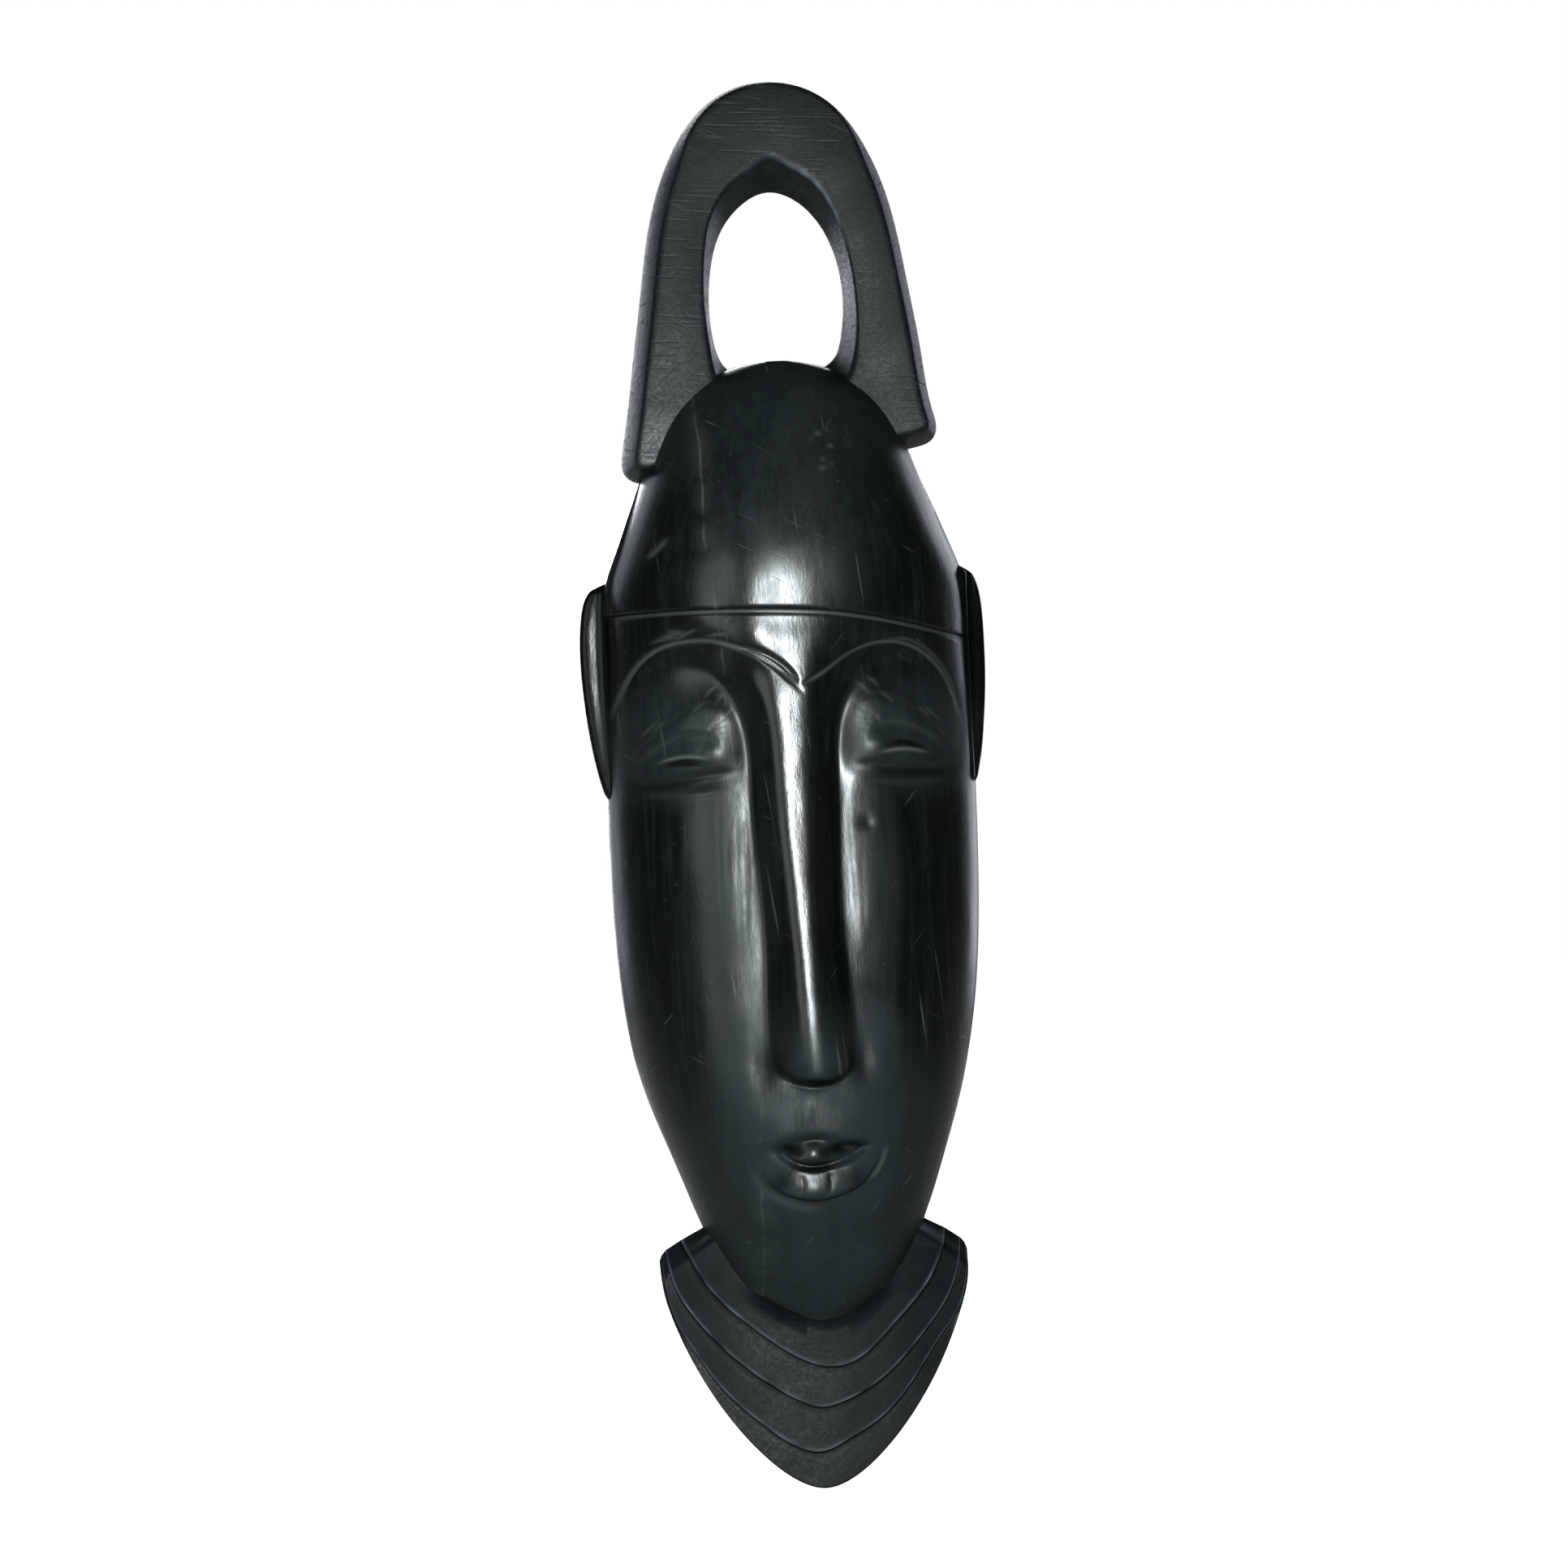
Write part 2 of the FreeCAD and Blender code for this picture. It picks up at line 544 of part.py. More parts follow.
def main():
    os.makedirs("parts", exist_ok=True)
    for name, shape in build().items():
        shape.exportStep(f"parts/{name}.step")
        box = shape.BoundBox
        print(name, len(shape.Solids), "solids", shape.isValid(), round(shape.Volume / 1000, 1), "cm3",
              [round(v, 1) for v in (box.XMin, box.XMax, box.YMin, box.YMax, box.ZMin, box.ZMax)])


main()
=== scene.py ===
import math

import bmesh
import bpy
import numpy as np
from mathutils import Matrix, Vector


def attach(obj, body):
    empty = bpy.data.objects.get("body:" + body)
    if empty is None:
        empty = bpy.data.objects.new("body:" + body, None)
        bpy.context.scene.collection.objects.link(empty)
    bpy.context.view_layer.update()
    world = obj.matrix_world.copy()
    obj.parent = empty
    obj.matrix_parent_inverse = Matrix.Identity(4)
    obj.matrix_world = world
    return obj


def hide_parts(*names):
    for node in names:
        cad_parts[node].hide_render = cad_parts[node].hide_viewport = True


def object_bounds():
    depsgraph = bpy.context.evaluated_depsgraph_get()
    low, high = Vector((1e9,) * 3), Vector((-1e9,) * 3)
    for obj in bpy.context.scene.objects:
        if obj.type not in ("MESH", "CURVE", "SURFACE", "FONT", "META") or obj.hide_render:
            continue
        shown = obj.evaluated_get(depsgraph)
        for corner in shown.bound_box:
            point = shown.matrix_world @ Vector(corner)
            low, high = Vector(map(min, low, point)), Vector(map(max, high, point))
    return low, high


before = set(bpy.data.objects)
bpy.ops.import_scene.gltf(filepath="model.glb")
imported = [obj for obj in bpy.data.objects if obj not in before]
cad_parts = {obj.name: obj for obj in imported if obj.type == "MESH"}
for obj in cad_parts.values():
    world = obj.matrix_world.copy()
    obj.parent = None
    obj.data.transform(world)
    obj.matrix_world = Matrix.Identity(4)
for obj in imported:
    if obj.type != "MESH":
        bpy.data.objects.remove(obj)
CAD_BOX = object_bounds()

# A carved dark hardwood wall mask. Sizes here are in millimetres: x to the viewer's right of the
# mask's middle plane, z up from the tip of its collar and depth out from the wall, towards -Y.
MM = 0.001
TIP = CAD_BOX[0][2]


# --- Curves and small helpers --------------------------------------------------
def spline(points):
    """A natural cubic curve through (t, value) points, which takes arrays. It is level outside them."""
    t, v = np.array(points, float).T
    n = len(t)
    h = np.diff(t)
    system = np.eye(n)
    right = np.zeros(n)
    for i in range(1, n - 1):
        system[i, i - 1:i + 2] = h[i - 1], 2 * (h[i - 1] + h[i]), h[i]
        right[i] = 6 * ((v[i + 1] - v[i]) / h[i] - (v[i] - v[i - 1]) / h[i - 1])
    bend = np.linalg.solve(system, right)

    def value(at):
        at = np.clip(at, t[0], t[-1])
        i = np.clip(np.searchsorted(t, at) - 1, 0, n - 2)
        b = (at - t[i]) / h[i]
        a = 1 - b
        curved = (a ** 3 - a) * bend[i] + (b ** 3 - b) * bend[i + 1]
        return a * v[i] + b * v[i + 1] + curved * h[i] ** 2 / 6

    return value


def path(points, count):
    """That many points, evenly spread along a smooth line through a few (x, z) points."""
    points = np.array(points, float)
    run = np.concatenate([[0], np.cumsum(np.hypot(*np.diff(points, axis=0).T))])
    at = np.linspace(0, run[-1], count)
    return np.stack([spline(list(zip(run, points[:, k])))(at) for k in (0, 1)], axis=1)


def smooth(t):
    """0 below 0 and 1 above 1, with a soft rise between."""
    t = np.clip(t, 0.0, 1.0)
    return t * t * (3 - 2 * t)


def ramp(t, width):
    """0 below 0 and t above it, rounded over the width."""
    return (t + np.sqrt(t * t + width * width)) / 2


def larger(a, b, width):
    """The larger of two values, rounded over the width where they cross."""
    return (a + b + np.sqrt((a - b) ** 2 + width * width)) / 2


def mound(x, z, at, size, height):
    """A soft round hill: its middle, its reach each way and its height."""
    return height * np.exp(-((x - at[0]) / size[0]) ** 2 - ((z - at[1]) / size[1]) ** 2)


def line_distance(points, x, z, reach):
    """Signed distance of each (x, z) from a smooth line, and how far along it, from 0 to 1."""
    line = path(points, 24)
    low, high = line.min(axis=0) - reach, line.max(axis=0) + reach
    near = (x > low[0]) & (x < high[0]) & (z > low[1]) & (z < high[1])
    px, pz = x[near], z[near]
    best = np.full(px.shape, 1e9)
    side = np.ones(px.shape)
    where = np.zeros(px.shape)
    for k in range(len(line) - 1):
        (ax, az), (bx, bz) = line[k], line[k + 1]
        run, rise = bx - ax, bz - az
        t = np.clip(((px - ax) * run + (pz - az) * rise) / (run * run + rise * rise), 0, 1)
        off = np.hypot(px - ax - t * run, pz - az - t * rise)
        closer = off < best
        best[closer] = off[closer]
        side[closer] = np.sign(run * (pz - az) - rise * (px - ax))[closer]
        where[closer] = ((k + t) / (len(line) - 1))[closer]
    distance = np.full(x.shape, 1e9)
    along = np.zeros(x.shape)
    distance[near] = best * side
    along[near] = where
    return distance, along


EDGE_WIDTH = 0.5  # of the pale line painted along a ledge's edge


class Carving:
    """Small carving over a sheet of points: its height over the large forms, and how pale and dark it is. Its
    dark share is painted shade, and its pale share holds pale marks and painted highlights.
    """

    def __init__(self, x, z):
        self.x, self.z = x, z
        self.height = np.zeros(np.shape(x))
        self.pale = np.zeros(np.shape(x))
        self.dark = np.zeros(np.shape(x))

    def cut(self, points, depth, width, fade=0.2, pale=0.0, dark=0.0):
        """A V cut of the knife along a line, fading at its ends, with painted shade in it where dark is
        given.
        """
        distance, along = line_distance(points, self.x, self.z, 4 * width)
        shape = smooth(along / fade) * smooth((1 - along) / fade) * np.exp(-(distance / width) ** 2)
        self.height -= depth * shape
        self.pale = np.maximum(self.pale, pale * shape)
        self.dark = np.maximum(self.dark, dark * shape)

    def ledge(self, points, height, width, reach, fade=0.2, pale=0.0):
        """A step up on the line's left, sharp at the line and dying away from it."""
        distance, along = line_distance(points, self.x, self.z, 3 * reach)
        ends = smooth(along / fade) * smooth((1 - along) / fade)
        far = np.exp(-(np.maximum(distance, 0) / reach) ** 2)
        self.height += height * ends * far * (1 + np.tanh(distance / width)) / 2
        self.pale = np.maximum(self.pale, pale * ends * np.exp(-(distance / EDGE_WIDTH) ** 2))

    def swell(self, at, size, height, dark=0.0):
        """A soft mound, or a hollow where the height is negative, with painted shade over it where dark is
        given.
        """
        shape = mound(self.x, self.z, at, size, 1.0)
        self.height += height * shape
        self.dark = np.maximum(self.dark, dark * shape)


WAVES = 7  # that are added up in one unevenness


def wave(x, z, scale, seed):
    """A slow, soft unevenness from -1 to 1, as a hand-worked surface has."""
    rng = np.random.default_rng(seed)
    total = np.zeros(np.shape(x))
    for _ in range(WAVES):
        angle, phase = rng.uniform(0, math.pi), rng.uniform(0, 2 * math.pi)
        length = scale * rng.uniform(0.6, 1.6)
        total = total + np.sin((x * math.cos(angle) + z * math.sin(angle)) * 2 * math.pi / length + phase)
    return total / WAVES


# --- The shape of the head -----------------------------------------------------
# From the chin up: (height, half width, depth of the cheeks, depth of the brow).
HEAD_STATIONS = [
    (48.0, 0.5, 21.4, 21.4), (48.7, 8.0, 22.2, 22.2), (50.4, 14.0, 24.2, 24.2), (54.0, 19.2, 28.0, 28.0),
    (61.0, 24.6, 34.6, 34.6), (70.0, 29.4, 41.0, 41.0), (80.0, 33.5, 46.2, 46.2), (95.0, 38.9, 50.0, 50.0),
    (110.0, 44.1, 51.2, 51.2), (130.0, 48.9, 50.8, 50.8), (155.0, 51.7, 50.0, 50.0),
    (185.0, 52.7, 49.0, 50.5), (215.0, 52.6, 48.5, 54.5), (240.0, 52.2, 49.5, 57.0),
    (252.0, 51.7, 51.5, 58.0),
    (259.0, 50.5, 53.5, 58.1), (267.0, 47.5, 54.0, 57.2), (276.0, 44.0, 53.0, 54.6),
    (285.0, 40.5, 50.4, 51.0), (293.0, 37.6, 47.0, 47.2), (301.0, 34.2, 42.6, 42.6),
    (308.0, 29.4, 37.4, 37.4), (313.0, 23.8, 32.6, 32.6), (317.0, 16.6, 27.4, 27.4), (319.3, 8.2, 23.0, 23.0),
    (320.0, 0.5, 20.0, 20.0),
]
CHEEK_POWERS = (2.9, 2.1)
BROW_POWERS = (2.3, 2.0)
NOSE_LINE = spline([(96.0, 0.6), (116.0, 0.0), (140.0, -1.0), (165.0, -1.8), (200.0, -2.6), (236.0, -2.6)])
NOSE_RIDGE = spline([(96.0, 66.2), (118.0, 65.4), (140.0, 63.4), (165.0, 61.4), (190.0, 59.9),
                     (210.0, 59.2), (228.0, 58.7), (240.0, 58.2), (252.0, 54.5), (270.0, 42.0),
                     (300.0, 10.0)])
NOSE_HALF = spline([(112.0, 10.0), (125.0, 10.8), (150.0, 10.4), (190.0, 11.4), (212.0, 13.0), (226.0, 17.5),
                    (238.0, 26.0), (250.0, 34.0)])
NOSE_POWER = spline([(112.0, 2.1), (135.0, 2.3), (165.0, 2.7), (200.0, 3.2), (230.0, 3.0)])
NOSE_DROP = 12.0
NOSE_WINGS = (-8.0, 8.0)
CHEEK_SWELLS = (-25.5, 20.5)
EYE_SWELLS = (-31.0, 27.0)
BROW_SHELF = 0.85
BROW_ARCH = spline([(-51.0, 209.0), (-46.0, 226.0), (-38.0, 236.5), (-30.0, 240.0), (-22.0, 240.0),
                    (-10.0, 234.5), (1.0, 226.0), (8.0, 230.5), (19.0, 237.0), (28.0, 238.0), (35.0, 235.0),
                    (42.0, 228.0), (47.0, 216.0), (50.0, 206.0)])
HEADBAND = spline([(-58.0, 249.0), (-22.0, 249.6), (-2.0, 248.8), (8.0, 248.0), (18.0, 246.5), (28.0, 244.5),
                   (38.0, 242.2), (48.0, 239.6), (58.0, 237.0)])
HEAD_OFFSET = 1.2


def station_curves():
    """Half width, cheek depth and brow depth as functions of the height, smooth round both ends."""
    table = np.array(HEAD_STATIONS)
    run = np.concatenate([[0], np.cumsum(np.hypot(*np.diff(table[:, 1::-1], axis=0).T))])
    fine = np.linspace(0, run[-1], 2000)
    heights, *values = (spline(list(zip(run, table[:, k])))(fine) for k in range(4))
    return [lambda z, v=v: np.interp(z, heights, v) for v in values]


HALF_WIDTH, CHEEK, BROW = station_curves()


def head_middle(z):
    """The head's middle line, which stands a little to the left of the chin's."""
    return -HEAD_OFFSET * smooth((z - 80.0) / 50.0)


def section(x, half_width, depth, powers):
    """Depth of a full, flattened cross-section at x."""
    across, deep = powers
    return depth * np.clip(1 - np.abs(x / half_width) ** across, 0, 1) ** (1 / deep)


def head_base(x, z, half_width):
    """Depth of the carved head at x from its middle plane: its large forms only."""
    inner = x - head_middle(z)
    rim = np.clip(1 - (inner / half_width) ** 2, 0, 1)
    face = section(inner, half_width, CHEEK(z), CHEEK_POWERS)
    for across in CHEEK_SWELLS:
        face += rim * mound(x, z, (across, 170.0), (13.0, 30.0), 1.9)
    face += rim * mound(x, z, (-1.0, 101.0), (20.0, 15.0), 2.8)
    for across in EYE_SWELLS:
        face += rim * mound(x, z, (across, 212.0), (13.0, 11.5), 4.6)
    forehead = section(inner, half_width, BROW(z), BROW_POWERS)
    forehead -= BROW_SHELF * ramp(BROW_ARCH(x) - z, 4.0)
    off = x - NOSE_LINE(z)
    nose = NOSE_RIDGE(z) - NOSE_DROP * np.abs(off / NOSE_HALF(z)) ** NOSE_POWER(z)
    nose += sum(mound(off, z, (wing, 121.5), (3.0, 5.0), 1.0) for wing in NOSE_WINGS)
    nose -= 10.0 * ramp(116.6 + 3.2 * (off / 11.0) ** 2 - z, 0.8)
    blend = (1.6 + 1.2 * smooth((-off - 2.0) / 10.0)) * rim
    return larger(larger(face, forehead, 2.2 * rim), nose, blend)


def unevenness(x, z):
    """What hand tools leave of slow and quick unevenness."""
    return 0.2 * wave(x, z, 26.0, 3) + 0.06 * wave(x, z, 9.0, 4)


def bowed(start, end, across, up):
    """A line between two points whose middle is moved by across and up."""
    return [start, ((start[0] + end[0]) / 2 + across, (start[1] + end[1]) / 2 + up), end]


def carve_brows(work):
    """The engraved brow lines, with the second cut and the slips of the knife beside them."""
    work.cut([(-52.5, 218), (-47, 232), (-39, 239), (-31.5, 240.8), (-23, 240.3), (-11, 235.2), (-5, 231),
              (1.5, 223.8)], 0.55, 0.55, 0.12, 0.75)
    work.cut([(-18, 239.3), (-9, 235.8), (-3.5, 231.5), (-0.5, 227.5)], 0.9, 0.7, 0.2, 0.3)
    work.cut([(-1.5, 226.8), (6, 230.3), (18, 237), (26.5, 238.4), (34, 236.2), (40.5, 230.5), (45, 223),
              (47, 215)], 0.5, 0.5, 0.12, 0.65)
    work.cut([(20, 237.0), (30, 239.2), (38, 235.0), (44.5, 226.0), (47.6, 217.0)], 0.25, 0.4, 0.3, 0.4)
    for start, end in (((-42, 240.6), (-31, 242.6)), ((-40, 241.8), (-29, 243.6)),
                       ((-37, 243.8), (-31, 243.2)), ((-36, 240.5), (-27, 244.5)),
                       ((-27, 241.6), (-19, 242.6))):
        work.cut(bowed(start, end, 0.0, 0.3), 0.12, 0.45, 0.4, 0.5)


def carve_eye(work, side, across, high, shadow):
    """A closed eye round (across, high): lid, band and slit, its shadow above (1) or below (-1)."""

    def at(points):
        placed = [(across + side * px, high + pz) for px, pz in points]
        return placed if side < 0 else placed[::-1]

    # the hollow above it and beside the nose, both with painted shade, then the soft edge of the bulge
    work.swell((across - side * 12.0, high + 23.0), (16.0, 7.0), -1.2, 0.3)
    work.swell((across - side * 19.0, high + 2.0), (3.4, 12.0), -0.8, 0.5)
    work.ledge(at([(-15.0, 0.0), (-14.8, 7.0), (-11.5, 12.5), (-6.0, 13.6), (1.6, 9.6), (9.0, 3.8),
                   (17.5, -4.4)]), 1.1, 1.9, 7.0, 0.3, 0.1)
    # the ball pushing through inside the lid's band
    work.ledge(at([(-10.5, -3.5), (-9.5, 2.5), (-5.0, 5.2), (2.0, 4.0), (9.0, 0.2), (15.0, -4.6)]),
               -1.0, 0.9, 4.5, 0.35, 0.14)
    work.swell((across - side * 8.6, high - 0.5), (4.6, 5.0), 0.7)
    # the slit: a raised thread at the lid's edge with a painted highlight, and a three-cornered hollow with
    # painted shade beside it
    for inner, middle in ((0.9, 0.9), (2.0, 1.5)):
        slit = [(-6.2, -2.4 + shadow * inner), (0.0, -1.8 + shadow * middle), (8.6, -3.6 + 0.4 * shadow)]
        work.cut(at(slit), 0.7, 0.55, 0.4, 0.0, 0.9)
    thread = [(-8.4, -2.9 - 0.5 * shadow), (0.0, -1.9 - 0.6 * shadow), (8.4, -3.6 - 0.5 * shadow)]
    work.cut(at(thread), -0.35, 0.5, 0.3, 1.0)
    # the lower lid and the pouch below it, with painted shade under the pouch
    work.cut(at([(-15.5, -5.8), (-8.0, -6.6), (2.0, -7.8), (16.0, -8.4)]), 0.8, 1.1, 0.3, 0.1)
    work.cut(at([(-13.0, -10.5), (-2.0, -12.0), (14.0, -11.4)]), 0.3, 1.0, 0.3, 0.12)
    work.swell((across + side * 3.0, high - 9.0), (14.0, 2.6), -0.2, 0.6)
    for start, end in (((-9.0, 12.0), (-13.0, 17.0)), ((-6.0, 14.5), (-10.5, 18.5)),
                       ((-11.0, 8.0), (-15.0, 12.0)), ((-2.5, 10.0), (-7.5, 14.0)),
                       ((3.0, 9.5), (9.0, 5.0)), ((5.0, 10.0), (12.0, 3.5))):
        work.cut(at(bowed(start, end, 0.3, 0.3)), 0.08, 0.4, 0.4, 0.4)


def carve_mouth(work):
    """Full lips: the upper lip's hollows and bead, the parting and a jutting lower lip."""
    work.swell((-2.0, 111.5), (5.0, 3.6), 0.45)
    # painted shade low on the philtrum
    work.swell((-1.6, 105.2), (9.0, 3.4), 0.0, 0.45)
    # the upper lip's hollows, with painted shade in them
    work.swell((-8.6, 97.6), (4.2, 2.0), -2.4, 1.0)
    work.swell((5.6, 97.4), (4.6, 1.9), -2.2, 1.0)
    work.swell((10.5, 98.2), (4.0, 1.5), -1.2, 0.9)
    work.swell((-1.8, 100.2), (6.0, 1.6), -1.0, 0.7)
    work.swell((-1.6, 96.4), (5.2, 2.8), 1.3)
    work.cut([(-12.8, 97.2), (-8.5, 94.6), (-2.0, 93.0), (5.0, 94.0), (10.8, 96.2), (14.8, 98.8)],
             1.7, 0.8, 0.2)
    # painted shade along the parting
    work.swell((-2.0, 92.6), (8.0, 1.3), 0.0, 0.9)
    work.ledge([(-17.0, 93.5), (-14.8, 90.0), (-10.7, 86.4), (-6.5, 85.0), (-2.5, 84.4), (3.0, 84.8),
                (7.2, 86.0), (12.0, 88.8), (15.0, 92.4), (17.8, 97.0)], 3.0, 0.45, 6.5, 0.3)
    work.swell((-1.6, 87.4), (4.6, 4.0), 1.2)
    # painted shade at both ends of the lower lip
    work.swell((-10.5, 89.6), (3.6, 3.0), 0.0, 0.7)
    work.swell((8.4, 90.2), (4.2, 3.2), 0.0, 0.7)
    work.cut([(-5.8, 91.6), (-5.0, 88.6), (-6.4, 85.6)], 0.3, 0.8, 0.3)
    work.cut([(2.0, 92.0), (2.8, 89.5), (1.8, 86.0)], 0.3, 0.7, 0.3)
    work.cut([(-19.0, 95.0), (-16.8, 88.5), (-11.5, 84.2), (-5.0, 81.8), (3.0, 81.4)], 0.3, 1.2, 0.25, 0.22)
    work.cut([(12.5, 87.4), (16.2, 91.0), (19.6, 99.0)], -0.5, 0.7, 0.3, 0.4)


def carve_nose(work):
    """The nostrils' shallow hollows, and where the knife ran down beside the nose."""
    for side in (-1, 1):
        work.swell((side * 5.8 - 0.3, 119.6), (2.2, 1.8), -0.8)
        work.swell((side * 13.5 - 0.6, 122.5), (3.0, 5.0), -0.5)
    work.cut([(-10.5, 121.0), (-7.0, 117.2), (0.0, 115.2), (7.0, 117.2), (10.0, 121.0)], 0.3, 1.0, 0.3)
    # painted shade under the end of the nose
    work.swell((0.0, 116.4), (8.0, 1.4), 0.0, 1.0)
    work.ledge([(-17.6, 146), (-16.8, 168), (-16.2, 190), (-17.0, 204)], 0.3, 0.7, 9.0, 0.3, 0.15)
    work.ledge([(13.0, 204), (12.2, 190), (12.8, 170), (13.8, 150)], 0.25, 0.7, 9.0, 0.3, 0.2)
    # painted shade down the valleys between the nose and the cheeks
    work.swell((-14.4, 185.0), (2.2, 26.0), 0.0, 0.75)
    work.swell((10.4, 185.0), (1.8, 26.0), 0.0, 0.5)
    # a small hollow on the right cheek, with painted shade in it
    work.swell((16.8, 188.4), (2.2, 1.6), -0.5, 0.7)
    # painted shade beside the nose's wings
    work.swell((-13.6, 120.0), (4.2, 7.0), -0.4, 0.75)
    work.swell((13.0, 120.5), (3.6, 6.0), -0.4, 0.6)
    work.cut([(16.8, 190.4), (19.0, 187.4), (20.4, 188.0)], 0.3, 0.5, 0.3, 0.5)
    for across, low, high in ((-19.2, 150, 196), (-22.0, 168, 190), (-24.4, 160, 201), (15.6, 156, 184)):
        work.cut([(across, low), (across - 0.4, (low + high) / 2), (across + 0.3, high)], 0.05, 0.5, 0.3, 0.2)


def carve_headband(work):
    """The engraved line round the forehead, with its burr."""
    off = work.z - HEADBAND(work.x)
    ends = smooth((51.0 - np.abs(work.x)) / 4.0)
    work.height -= ends * (0.5 * np.exp(-(off / 0.42) ** 2) + 0.3 * np.exp(-((off + 1.1) / 0.4) ** 2))
    work.pale = np.maximum(work.pale, ends * 0.55 * np.exp(-((off + 0.75) / 0.45) ** 2))


def carved_face(x, z):
    """All the small carving on the face, and a pale line along the edge under the chin."""
    work = Carving(x, z)
    work.height += unevenness(x, z)
    carve_brows(work)
    carve_eye(work, -1, -33.0, 210.0, -1.0)
    carve_eye(work, 1, 28.8, 211.0, 1.0)
    carve_nose(work)
    carve_mouth(work)
    carve_headband(work)
    over_collar = head_base(x, z, HALF_WIDTH(z)) - COLLAR_FRONT
    chin_edge = smooth((64.0 - z) / 8.0) * smooth((24.0 - np.abs(x)) / 10.0)
    work.pale = np.maximum(work.pale, 0.7 * chin_edge * np.exp(-((over_collar - 1.4) / 0.8) ** 2))
    return work


def carved_cap(x, z):
    """The small carving on the skull cap: its side of the headband line, a nick and a few scores."""
    work = Carving(x, z)
    work.height += unevenness(x, z)
    carve_headband(work)
    work.cut([(-41.5, 264.5), (-37.5, 267.5), (-34.5, 270.5)], 0.35, 0.7, 0.3, 0.6)
    for start, end in (((7, 287), (13, 289)), ((8, 290), (12, 291)), ((10, 293), (13, 294.5)),
                       ((5, 296), (12, 299))):
        work.cut(bowed(start, end, 0.0, 0.2), 0.1, 0.4, 0.3, 0.4)
    return work


# --- Meshes ----------------------------------------------------------------------
def to_frame(x, depth, z):
    """Points in the frame's metres, from millimetres across, out from the wall and up."""
    x, depth, z = np.broadcast_arrays(x, depth, z)
    return np.stack([x * MM, -depth * MM, z * MM + TIP], axis=-1)


def new_piece(name, points, faces, material, node_name):
    """A smooth piece that rides the one body and stands for a node of the CAD model."""
    mesh = bpy.data.meshes.new(name)
    mesh.from_pydata(np.asarray(points).reshape(-1, 3).tolist(), [], faces)
    mesh.validate()
    bm = bmesh.new()
    bm.from_mesh(mesh)
    bmesh.ops.recalc_face_normals(bm, faces=bm.faces)
    bm.to_mesh(mesh)
    bm.free()
    mesh.shade_smooth()
    piece = bpy.data.objects.new(name, mesh)
    bpy.context.scene.collection.objects.link(piece)
    mesh.materials.append(material)
    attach(piece, "root")
    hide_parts(node_name)
    return piece


def paint(piece, name, values):
    """How "pale" or "dark" each point of a piece is, for its material to read: the dark share is painted
    shade, the pale share pale marks and painted highlights.
    """
    layer = piece.data.attributes.new(name, "FLOAT", "POINT")
    layer.data.foreach_set("value", np.ascontiguousarray(values, dtype=np.float32).ravel())


def grid_faces(rows, columns, closed=False):
    """Quads between neighbouring rows of points, wrapping round each row if it is closed."""
    faces = []
    last = columns if closed else columns - 1
    for r in range(rows - 1):
        for c in range(last):
            a = r * columns + c
            b = r * columns + (c + 1) % columns
            faces.append((a, b, b + columns, a + columns))
    return faces


def carve(x, depth, z, detail):
    """Moves a sheet of points out along its own normals by the detail."""
    p = np.stack([x, -depth, z], axis=-1)
    across = np.gradient(p, axis=1)
    up = np.gradient(p, axis=0)
    normal = np.cross(up, across)
    length = np.linalg.norm(normal, axis=-1, keepdims=True)
    normal = normal / np.maximum(length, 1e-9)
    normal *= -np.sign(normal[..., 1:2] + 1e-12)
    p = p + normal * detail[..., None]
    return p[..., 0], -p[..., 1], p[..., 2]


HOLLOW_BOTTOM, HOLLOW_TOP = 84.0, 276.0
HOLLOW_WALL, HOLLOW_SKIN, HOLLOW_END = 12.0, 14.0, 34.0
HOLLOW_LEAST = 0.3  # of the head's half width, where the hollow closes
RIM_COLUMNS = 5
BACK_COLUMNS = 64


def hollow_rows(z, columns):
    """The back of the head, across each height: its flat rim and what the gouge took out."""
    end = np.minimum(z - HOLLOW_BOTTOM, HOLLOW_TOP - z)
    closing = np.sqrt(np.clip(1 - (1 - np.clip(end / HOLLOW_END, 0, 1)) ** 2, 0, 1))
    angles = np.linspace(0, math.pi, columns - 2 * RIM_COLUMNS)
    q = -np.cos(angles)
    q = np.sign(q) * np.abs(q) ** (2 / BROW_POWERS[0])
    xs, ds = [], []
    for k, height in enumerate(z[:, 0]):
        half = HALF_WIDTH(height)
        inside = max(HOLLOW_LEAST * half, (half - HOLLOW_WALL) * closing[k, 0])
        middle = head_middle(height)
        x = np.concatenate([np.linspace(-half, -inside, RIM_COLUMNS, endpoint=False), q * inside,
                            np.linspace(inside, half, RIM_COLUMNS + 1)[1:]])
        depth = section(x, inside, (CHEEK(height) - HOLLOW_SKIN) * closing[k, 0], BROW_POWERS)
        depth = np.where(np.abs(x) < inside, depth, 0.0)
        xs.append(x + middle)
        ds.append(depth)
    return np.array(xs), np.array(ds)


def gouge_marks(x, z):
    """Long shallow facets that the gouge leaves in the hollow."""
    row = z / 17.0 + 0.25 * np.sin(x * 0.35)
    lane = np.abs(((x + 2.2 * np.sin(np.floor(row) * 2.4)) / 7.0) % 1.0 - 0.5) * 2
    step = np.abs(row % 1.0 - 0.5) * 2
    return 0.55 * lane ** 2 + 0.35 * step ** 3


